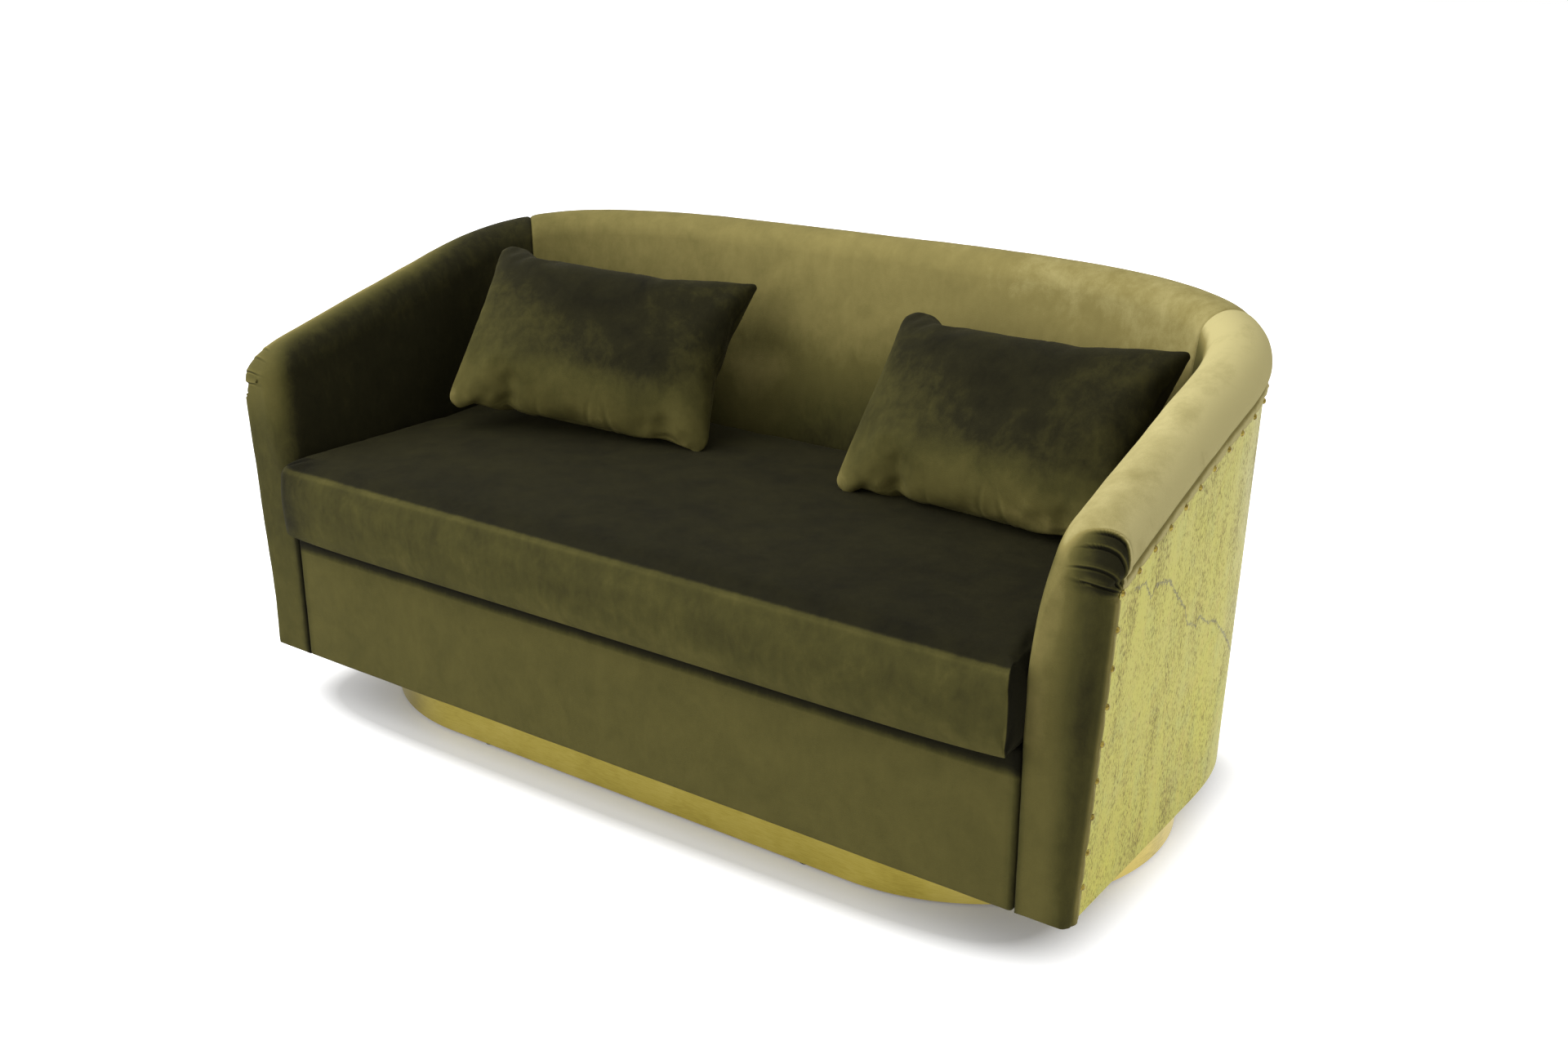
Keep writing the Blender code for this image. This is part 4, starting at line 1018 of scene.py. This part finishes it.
def brass_sheet(name, first, last, signs, node):
    """One sheet between two distances along the right half's edge; signs mirror or double it."""
    travel = spaced(first, last, SHEET_STEP)
    u = u_at(travel)
    if signs == 2:
        u = np.concatenate([u, -u[::-1][1:]])
        travel = np.concatenate([travel, travel[::-1][1:]])
    u = u * (-1 if signs < 0 else 1)
    piece, column, row = grid_piece(name, SHEET_LEVELS, len(u))
    at = u[row]
    share = column / (SHEET_LEVELS - 1)
    phase = np.cos(2 * math.pi * (travel[row] - NAIL_TRAVEL[0]) / NAIL_PITCH)
    top = rim_height(at) - LIP_DROP - SHEET_WAVE + SHEET_WAVE * phase
    z = BODY_Z + (top - BODY_Z) * share
    points = wall_points(at, brass_offset(at, z), z)
    if first == 0:
        curl = np.cos(2 * math.pi * (z - FRONT_NAIL_Z[0]) / FRONT_PITCH)
        points[:, 1] += (row == 0) * FRONT_WAVE * (1 - curl)
    set_points(piece, points)
    turn_out(piece)
    outward = wall_points(at, 1.0 + 0 * z, z) - wall_points(at, 0 * z, z)
    if np.sum(normals_of(piece) * outward) < 0:
        piece.data.flip_normals()
    dent = 0.0005 * lump(points, 6, 8) * np.minimum(1, share * 6) * np.minimum(1, (1 - share) * 6)
    set_points(piece, points + outward * dent[:, None])
    give_wall(piece, BRASS)
    apply_modifiers(piece)
    bpy.ops.object.shade_smooth_by_angle(angle=math.radians(40))
    piece.data.materials.append(aged)
    stand_in(piece, node, "sofa")


brass_sheet("left_brass_sheet", 0.0, SEAM_TRAVEL - SEAM_GAP, -1, "left_cladding")
brass_sheet("back_brass_sheet", SEAM_TRAVEL + SEAM_GAP, EDGE_TRAVEL[-1], 2, "back_cladding")
brass_sheet("right_brass_sheet", 0.0, SEAM_TRAVEL - SEAM_GAP, 1, "right_cladding")

# Nails: small brass domes driven through the edge of the cladding at an even pitch, along the top and
# down both arm fronts.
NAIL = 0.0047
NAIL_FLATNESS = 0.80
NAIL_STAND = 0.0018
NAIL_LIFT = 0.0006
bpy.ops.mesh.primitive_uv_sphere_add(segments=10, ring_count=6, radius=NAIL)
nail = bpy.context.object
bpy.ops.object.mode_set(mode="EDIT")
bpy.ops.mesh.select_all(action="SELECT")
bpy.ops.mesh.bisect(plane_co=(0, 0, 0.0002), plane_no=(0, 0, 1), clear_inner=True, use_fill=True)
bpy.ops.mesh.select_all(action="SELECT")
bpy.ops.transform.resize(value=(1, 1, NAIL_FLATNESS))
leave_edit()
dome = points_of(nail)
dome_faces = [tuple(face.vertices) for face in nail.data.polygons]
bpy.data.objects.remove(nail)
heads = []
for side in (1, -1):
    heads += [(side * u_now, rim_height(u_now) - LIP_DROP + NAIL_LIFT) for u_now in u_at(NAIL_TRAVEL)]
    heads += [(side * (2 - BRASS_FRONT / SIDE_RUN), z_now) for z_now in FRONT_NAIL_Z]
corners = []
faces = []
for u_now, z_now in heads:
    at = wall_points(u_now, brass_offset(u_now, z_now) + NAIL_STAND, z_now)
    out = wall_points(u_now, 1.0, z_now) - wall_points(u_now, 0.0, z_now)
    along = np.array([-out[1], out[0], 0])
    base = len(corners) * len(dome)
    corners.append(at + dome[:, :1] * along + dome[:, 1:2] * np.array([0, 0, 1]) + dome[:, 2:] * out)
    faces += [tuple(index + base for index in face) for face in dome_faces]
head_mesh = bpy.data.meshes.new("dome_nails")
head_mesh.from_pydata(np.concatenate(corners).tolist(), [], faces)
nails = bpy.data.objects.new("dome_nails", head_mesh)
bpy.context.scene.collection.objects.link(nails)
turn_out(nails)
bpy.ops.object.shade_smooth_by_angle(angle=math.radians(50))
nail_brass = speckled("nail_brass", (1, 1, 1), (260, 3), [(0.35, (0.12, 0.085, 0.016)),
                                                          (0.65, (0.34, 0.26, 0.055))],
                      (0.2, 0.15), metallic=1.0)
head_mesh.materials.append(nail_brass)
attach(nails, "sofa")

# Seat cushion: one loose bench cushion, a foam block in a sewn velvet cover. Its top runs over the
# front edge in one piece; the ends are sewn in, with a seam down each front corner.
CUSHION_Z = 0.3250
CUSHION_HEIGHT = 0.122
CUSHION_CROWN = 0.010
CUSHION_PROUD = 0.037
CUSHION_FRONT = FRONT_Y - CUSHION_PROUD
CUSHION_HALF = 0.687
CUSHION_DROOP = 0.007
CUSHION_GAP = 0.003
CUSHION_ROUND = 0.030
TOP_ROUND = 0.019
LOW_ROUND = 0.005
TOP_LEVEL = 0.70
LOW_LEVEL = 0.20


def rounded(x, y, half_x, half_y, radius):
    """Draw points near the corner at half_x, half_y in to a round one."""
    over_x = np.clip((x - half_x) / radius + 1, 0, 1)
    over_y = np.clip((y - half_y) / radius + 1, 0, 1)
    near = (over_x > 0) & (over_y > 0)
    x_round = half_x - radius + radius * over_x * np.sqrt(1 - over_y ** 2 / 2)
    y_round = half_y - radius + radius * over_y * np.sqrt(1 - over_x ** 2 / 2)
    return np.where(near, x_round, x), np.where(near, y_round, y)


def cushion_outline(across, along):
    """Plan of the cushion at a point on the edge of the unit square: straight in front and at the
    ends, curved to the tub behind, and with the left front corner rounded off."""
    side = np.where(across < 0, -1.0, 1.0)
    straight = SIDE_RUN + CUSHION_PROUD
    rear = u_at(SEAM_TRAVEL)
    bend = np.hypot(rim_plan(rear)[0] - rim_plan(1.0)[0], rim_plan(rear)[1] - rim_plan(1.0)[1])
    travel = (along + 1) / 2 * (straight + bend)
    u_end = side * (1 - (1 - rear) * np.clip((travel - straight) / bend, 0, 1))
    u_rear = np.where(along >= 1, rear * across, u_end)
    plan = wall_points(u_rear, -wall_offsets(u_rear)[1] - CUSHION_GAP, 0 * across)
    on_front = along <= -1
    on_end = (travel < straight) & ~on_front & (along < 1)
    x = np.where(on_front, CUSHION_HALF * across, np.where(on_end, side * CUSHION_HALF, plan[:, 0]))
    y = np.where(on_front, CUSHION_FRONT, np.where(on_end, CUSHION_FRONT + travel, plan[:, 1]))
    x = x - (~on_front & (along < 1)) * side * 0.002 * (1 - along ** 2)
    y = y + on_front * 0.002 * (1 - across ** 2)
    x, y = rounded(-x, -y, CUSHION_HALF, -CUSHION_FRONT, CUSHION_ROUND)
    return -x, -y


def between(length, step):
    """Places from -1 to 1 across a panel, closer together at its seams."""
    near = np.array([0, 0.0012, 0.0024, 0.004, 0.006, 0.0085, 0.012, 0.016, 0.021, 0.027, 0.034, 0.042])
    return np.concatenate([near, spaced(0.051, length - 0.051, step), length - near[::-1]]) / length * 2 - 1


cushion_x = between(2 * CUSHION_HALF, 0.0095)
cushion_y = between(0.63, 0.0095)
cushion, column, row = grid_piece("bench_cushion", len(cushion_x), len(cushion_y))
set_points(cushion, np.stack([cushion_x[column], cushion_y[row], 1 + 0 * column], axis=-1))
give_wall(cushion, 1.0)
apply_modifiers(cushion)
ends = np.array([edge.vertices[:] for edge in cushion.data.edges])
standing = np.abs(points_of(cushion)[ends[:, 0], 2] - points_of(cushion)[ends[:, 1], 2]) > 0.5
bpy.ops.object.mode_set(mode="EDIT")
bpy.ops.mesh.select_mode(type="EDGE")
bpy.ops.mesh.select_all(action="DESELECT")
leave_edit()
cushion.data.edges.foreach_set("select", standing)
bpy.ops.object.mode_set(mode="EDIT")
bpy.ops.mesh.subdivide(number_cuts=20)
bpy.ops.mesh.select_all(action="SELECT")
bpy.ops.mesh.normals_make_consistent(inside=False)
leave_edit()
flat = points_of(cushion)
ring = np.maximum(np.abs(flat[:, 0]), np.abs(flat[:, 1]))
safe = np.maximum(ring, 1e-6)
edge_x, edge_y = cushion_outline(flat[:, 0] / safe, flat[:, 1] / safe)
centre_y = FRONT_Y + SEAT_DEPTH / 2
on_front = flat[:, 1] / safe <= -0.999
level = flat[:, 2]
rise = math.pi / 2 * np.clip((level - TOP_LEVEL) / (1 - TOP_LEVEL), 0, 1)
fall = math.pi / 2 * np.clip((LOW_LEVEL - level) / LOW_LEVEL, 0, 1)
upright = np.clip((level - LOW_LEVEL) / (TOP_LEVEL - LOW_LEVEL), 0, 1)
height = LOW_ROUND + (CUSHION_HEIGHT - LOW_ROUND - TOP_ROUND) * upright
height = height + TOP_ROUND * np.sin(rise) - LOW_ROUND * np.sin(fall)
swelled = 0.0025 * np.sin(math.pi * np.clip((height - 0.01) / 0.10, 0, 1))
end_round = 0.014 - 0.009 * (edge_x > 0) * bell(edge_y - CUSHION_FRONT, 0.08)
long_round = np.where(edge_y < centre_y, 0.022, 0.014)
low_inset = LOW_ROUND * (1 - np.cos(fall)) - swelled
half_depth = np.abs(np.where(edge_y < centre_y, CUSHION_FRONT, FRONT_Y + SEAT_DEPTH) - centre_y)
share_x = ring * (1 - (end_round * (1 - np.cos(rise)) + low_inset) / CUSHION_HALF)
share_y = ring * (1 - (long_round * (1 - np.cos(rise)) + low_inset) / half_depth)
deep = centre_y + (edge_y - centre_y) * share_y
points = np.stack([edge_x * share_x, deep, CUSHION_Z + height], axis=-1)
crown = (1 - np.abs(flat[:, 0]) ** 4) * (1 - np.abs(flat[:, 1]) ** 4)
points[:, 2] += (level > 0.999) * CUSHION_CROWN * crown
overhang = eased((FRONT_Y - 0.008 - points[:, 1]) / 0.022)
overhang = overhang * (1 - np.abs(points[:, 0] / CUSHION_HALF) ** 8)
points[:, 2] -= CUSHION_DROOP * overhang * (1 - eased(height / 0.06))
set_points(cushion, points)


CLOTH = {"quality": 6, "mass": 0.15, "air_damping": 2.0, "tension_stiffness": 60,
         "compression_stiffness": 30, "shear_stiffness": 12, "bending_stiffness": 0.15,
         "vertex_group_mass": "held", "use_pressure": True}


def swell(piece, pressure, frames, held, cap):
    """Blow a sewn cover up a little as cloth, with some vertices held and the movement capped."""
    still = points_of(piece)
    group = piece.vertex_groups.new(name="held")
    group.add([int(index) for index in np.nonzero(held)[0]], 1.0, "REPLACE")
    cloth = piece.modifiers.new("cloth", "CLOTH")
    for label, value in CLOTH.items():
        setattr(cloth.settings, label, value)
    cloth.settings.uniform_pressure_force = pressure
    cloth.settings.effector_weights.gravity = 0
    cloth.collision_settings.use_collision = False
    for number in range(1, frames + 1):
        bpy.context.scene.frame_set(number)
    apply_modifiers(piece)
    bpy.context.scene.frame_set(1)
    piece.vertex_groups.clear()
    moved = points_of(piece) - still
    far = np.linalg.norm(moved, axis=1)
    limit = cap * np.tanh(far / cap) / np.maximum(far, 1e-9)
    set_points(piece, still + moved * limit[:, None])


swell(cushion, pressure=2.0, frames=10, held=level < 0.001, cap=0.006)
points = points_of(cushion)
relief = 0.0011 * lump(points, 7, 9) + 0.0005 * lump(points, 26, 10)
relief = relief * (points[:, 2] > CUSHION_Z + 0.012)
corner = np.hypot(np.abs(points[:, 0]) - CUSHION_HALF, points[:, 1] - CUSHION_FRONT)
right_seam = (points[:, 0] > 0) * (1 - eased((level - 0.45) / 0.25)) * bell(corner, 0.003)
relief = relief + 0.0010 * right_seam
set_points(cushion, points + normals_of(cushion) * relief[:, None])
points = points_of(cushion)
facing = normals_of(cushion)
tip = np.degrees(np.arctan2(-facing[:, 1], np.maximum(facing[:, 2], 0)))
tip = np.where(on_front, 90 - np.degrees(rise), tip)
up = np.clip((points[:, 2] - CUSHION_Z) / CUSHION_HEIGHT, 0, 1)
front_pile_and_highlight = 0.405 + 0.04 * points[:, 0] / CUSHION_HALF + 0.07 * eased((0.40 - up) / 0.35)
# A painted highlight along the rounding of the front edge.
front_pile_and_highlight = front_pile_and_highlight + (0.13 - 0.05 * points[:, 0] / CUSHION_HALF) * bell(tip - 46, 16)
seat = 0.10 + 0.05 * eased((-points[:, 0] - 0.35) / 0.30)
lay = seat + (front_pile_and_highlight - seat) * eased((tip - 26) / 24) * (facing[:, 1] < 0)
# Painted shade on the ends.
sideways = eased((np.abs(facing[:, 0]) - 0.45) / 0.4)
lay = lay + (-0.06 - lay) * sideways
# Darker towards the left end at the front.
left_end = eased((-points[:, 0] - CUSHION_HALF + 0.110) / 0.110)
lay = lay - 0.20 * left_end * (points[:, 1] < CUSHION_FRONT + 0.05)
# A painted highlight down the right front seam.
note(cushion, lay=lay + 0.14 * right_seam)
bpy.ops.object.shade_smooth()
cushion.data.materials.append(velvet_material("olive_velvet_cushion", 0.30))
stand_in(cushion, "seat_cushion", "seat_cushion")

# Pillows: two loose lumbar pillows, each two velvet panels sewn face to face and stuffed, leaning
# back on the seat. The cover is cut flat, blown up as cloth, and gathered and tucked along its seams.
PILLOW = np.array([0.490, 0.320, 0.135])
PILLOW_LEAN = 39.0
PATTERN_COLUMNS = 91
PATTERN_ROWS = 61
PATTERN_WIDTH = 0.512
PATTERN_HEIGHT = 0.344
PATTERN_FULLNESS = 0.012
PATTERN_CORNERS = ((-1, 1, 0.054), (1, 1, 0.014), (-1, -1, 0.046), (1, -1, 0.036))
PATTERN_WAIST = {"left": 0.002, "right": 0.008, "top": 0.006, "bottom": -0.004}
# Each tuck: its place along the seam from -1 to 1, the top (1) or bottom (-1) seam, its length and slant.
TUCKS = ((0.12, 1, 0.026, 0.15), (-0.42, 1, 0.014, -0.3), (0.09, -1, 0.030, 0.25),
         (0.29, -1, 0.030, -0.35), (-0.30, -1, 0.018, 0.2))
pillow, column, row = grid_piece("pillow_pattern", PATTERN_COLUMNS, PATTERN_ROWS)
pick(pillow)
bpy.ops.mesh.duplicate()
bpy.ops.mesh.flip_normals()
leave_edit()
flat = points_of(pillow)
across, up = flat[:, 0], flat[:, 1]
facing = np.where(np.arange(len(flat)) < len(column), 1.0, -1.0)
x = across * PATTERN_WIDTH / 2
y = up * PATTERN_HEIGHT / 2
for side, end, radius in PATTERN_CORNERS:
    x, y = rounded(x * side, y * end, PATTERN_WIDTH / 2, PATTERN_HEIGHT / 2, radius)
    x, y = x * side, y * end
end_waist = np.where(across < 0, PATTERN_WAIST["left"], PATTERN_WAIST["right"])
long_waist = np.where(up < 0, PATTERN_WAIST["bottom"], PATTERN_WAIST["top"])
x = x - across * end_waist * (1 - up ** 2)
y = y - up * long_waist * (1 - across ** 2)
fullness = np.maximum(0, (1 - across ** 2) * (1 - up ** 2)) ** 0.5
points = np.stack([x, y, facing * PATTERN_FULLNESS * fullness], axis=-1)
points[:, 2] += 0.004 * lump(points, 14, 1) * fullness
set_points(pillow, points)
pick(pillow)
bpy.ops.mesh.remove_doubles(threshold=0.00001)
bpy.ops.mesh.normals_make_consistent(inside=False)
leave_edit()
swell(pillow, pressure=5.0, frames=20, held=np.zeros(len(pillow.data.vertices), dtype=bool), cap=1.0)
pick(pillow)
bpy.ops.mesh.vertices_smooth(factor=0.5, repeat=4)
leave_edit()
points = points_of(pillow)
points = points - (points.max(axis=0) + points.min(axis=0)) / 2
set_points(pillow, points * PILLOW / np.ptp(points, axis=0))
finer = pillow.modifiers.new("finer", "SUBSURF")
finer.levels = 1
finer.render_levels = 1
apply_modifiers(pillow)
points = points_of(pillow)
across = points[:, 0] / PILLOW[0] * 2
up = points[:, 1] / PILLOW[1] * 2
from_top = np.clip(1 - np.abs(up), 0, 1) * PILLOW[1] / 2
from_end = np.clip(1 - np.abs(across), 0, 1) * PILLOW[0] / 2
gather = lump(points * np.array([1, 0, 0]), 62, 12) * np.exp(-from_top / 0.016)
gather = gather + lump(points * np.array([0, 1, 0]), 62, 13) * np.exp(-from_end / 0.012)
for place, end, length, slant in TUCKS:
    from_seam = np.clip(1 - end * up, 0, 2) * PILLOW[1] / 2
    gap = (across - place) * PILLOW[0] / 2 - slant * from_seam
    fold = 0.8 * bell(gap - 0.0075, 0.0050) - 1.3 * bell(gap, 0.0045)
    gather = gather + fold * bell(from_seam, length)
side_on = np.sign(points[:, 2]) * eased(np.abs(points[:, 2]) / 0.004)
points[:, 2] += 0.0034 * gather * side_on + 0.0010 * lump(points, 24, 14)
set_points(pillow, points)
# Paler to the lower left and along the bottom: partly the pile, partly painted light.
lower = eased((0.40 - 1.2 * up - across) / 1.3)
along_bottom = eased((-0.30 - up) / 0.35) * (1 - 0.7 * eased((across - 0.70) / 0.40))
by_seam = bell(np.abs(points[:, 2]), 0.0022)
lay = 0.13 + 0.22 * lower + 0.16 * along_bottom + 0.12 * eased((-0.60 - up) / 0.35)
# Painted light on the lower right and the right end, against the shade on their rounding, and a painted
# highlight along the left edge.
lay = lay + 0.13 * eased((across - 0.50) / 0.40) * eased((0.20 - up) / 0.60)
lay = lay + 0.10 * bell(across + 1, 0.10) + 0.09 * eased(across / 0.9)
# Painted light and shade on the gathers and tucks, and painted shade along the seam.
note(pillow, lay=lay + 0.09 * gather - 0.10 * by_seam)
bpy.ops.object.shade_smooth()
pillow.data.materials.append(velvet_material("olive_velvet_pillow", 0.36))


def set_pillow(name, middle, turn, roll, node):
    """A copy of the pillow, leaned, turned and put in its place."""
    piece = pillow.copy()
    piece.data = pillow.data.copy()
    piece.name = name
    bpy.context.scene.collection.objects.link(piece)
    turns = [(0, 0, turn), (90 - PILLOW_LEAN, 0, 0), (0, 0, roll)]
    first, second, third = [Euler(np.radians(angles)).to_matrix() for angles in turns]
    turned = np.array(first @ second @ third)
    set_points(piece, points_of(piece) @ turned.T + np.array(middle))
    stand_in(piece, node, node)


set_pillow("left_lumbar_pillow", (-0.366, 0.066, 0.602), 20.0, -6.0, "left_pillow")
set_pillow("right_lumbar_pillow", (0.408, 0.092, 0.587), -4.5, 1.2, "right_pillow")
bpy.data.objects.remove(pillow)

# Studio: a pale floor that glows, for the camera and in reflections, out to white round the sofa's shade,
# with a painted reflection where it glows brighter to the right in reflections; a large soft light above
# and to the left in front, and the camera at the height and angle of the picture.
SHADE_Y = 0.02
SHADE_HALF_WIDTH = 0.76
SHADE_HALF_DEPTH = 0.405
SHADE_SQUARENESS = 8.0
SHADE_EDGE = (0.94, 1.08)
KEY_AIM = (0, 0, 0.4)
CAMERA_DOWN = 19.72
CAMERA_TURN = 35.66
bpy.ops.mesh.primitive_plane_add(size=60)
floor = bpy.context.object
floor.name = "studio_floor"
floor_paint, tree, shader = new_material("studio_floor_paint", roughness=0.35)
shader.inputs["Base Color"].default_value = (0.80, 0.80, 0.80, 1)
shader.inputs["Emission Color"].default_value = (1, 1, 1, 1)
rays = tree.nodes.new("ShaderNodeLightPath")
seen = sums(tree, "MAXIMUM", rays.outputs["Is Camera Ray"], rays.outputs["Is Glossy Ray"])
spot = axes(tree)
reach = []
for axis, middle, half in (("X", 0.0, SHADE_HALF_WIDTH), ("Y", SHADE_Y, SHADE_HALF_DEPTH)):
    off = sums(tree, "DIVIDE", sums(tree, "SUBTRACT", spot[axis], middle), half)
    reach.append(sums(tree, "POWER", sums(tree, "ABSOLUTE", off, 0.0), SHADE_SQUARENESS))
away = sums(tree, "POWER", sums(tree, "ADD", *reach), 1 / SHADE_SQUARENESS)
away = sums(tree, "MULTIPLY_ADD", sums(tree, "MAXIMUM", spot["X"], 0.0), 0.053, away)
lift = put(tree, "ShaderNodeMix")
wire(tree, rays.outputs["Is Glossy Ray"], lift.inputs["Factor"])
wire(tree, ranged(tree, away, *SHADE_EDGE, 0.10, 1.0), lift.inputs["A"])
# Seen in reflections the floor glows brighter to the right: a painted reflection that brightens the brass
# there.
wire(tree, ranged(tree, spot["X"], 0.3, 1.0, 0.12, 0.90), lift.inputs["B"])
wire(tree, sums(tree, "MULTIPLY", seen, lift.outputs["Result"]), shader.inputs["Emission Strength"])
floor.data.materials.append(floor_paint)

scene = bpy.context.scene
scene.view_settings.view_transform = "Standard"
world = bpy.data.worlds.new("studio_white")
scene.world = world
world.use_nodes = True
tree = world.node_tree
background = tree.nodes["Background"]
background.inputs["Color"].default_value = (1, 1, 1, 1)
rays = tree.nodes.new("ShaderNodeLightPath")
seen = sums(tree, "MAXIMUM", rays.outputs["Is Camera Ray"], rays.outputs["Is Glossy Ray"])
seen = sums(tree, "MAXIMUM", seen, rays.outputs["Is Transmission Ray"])
wire(tree, sums(tree, "MULTIPLY_ADD", seen, 0.45, 0.55), background.inputs["Strength"])

bpy.ops.object.light_add(type="AREA", location=(-2.2, -1.9, 3.0))
key = bpy.context.object
key.name = "soft_key"
key.data.size = 5.2
key.data.energy = 150
key.rotation_euler = (Vector(KEY_AIM) - key.location).to_track_quat("-Z", "Y").to_euler()

lens = bpy.data.cameras.new("studio_camera")
camera = bpy.data.objects.new("studio_camera", lens)
scene.collection.objects.link(camera)
camera.location = (1.5096, -2.0196, 1.2866)
camera.rotation_euler = (math.radians(90 - CAMERA_DOWN), 0, math.radians(CAMERA_TURN))
lens.lens = 37.82
lens.sensor_width = 36
lens.sensor_fit = "HORIZONTAL"
lens.shift_x = 0.0037
lens.shift_y = -0.0024
scene.camera = camera
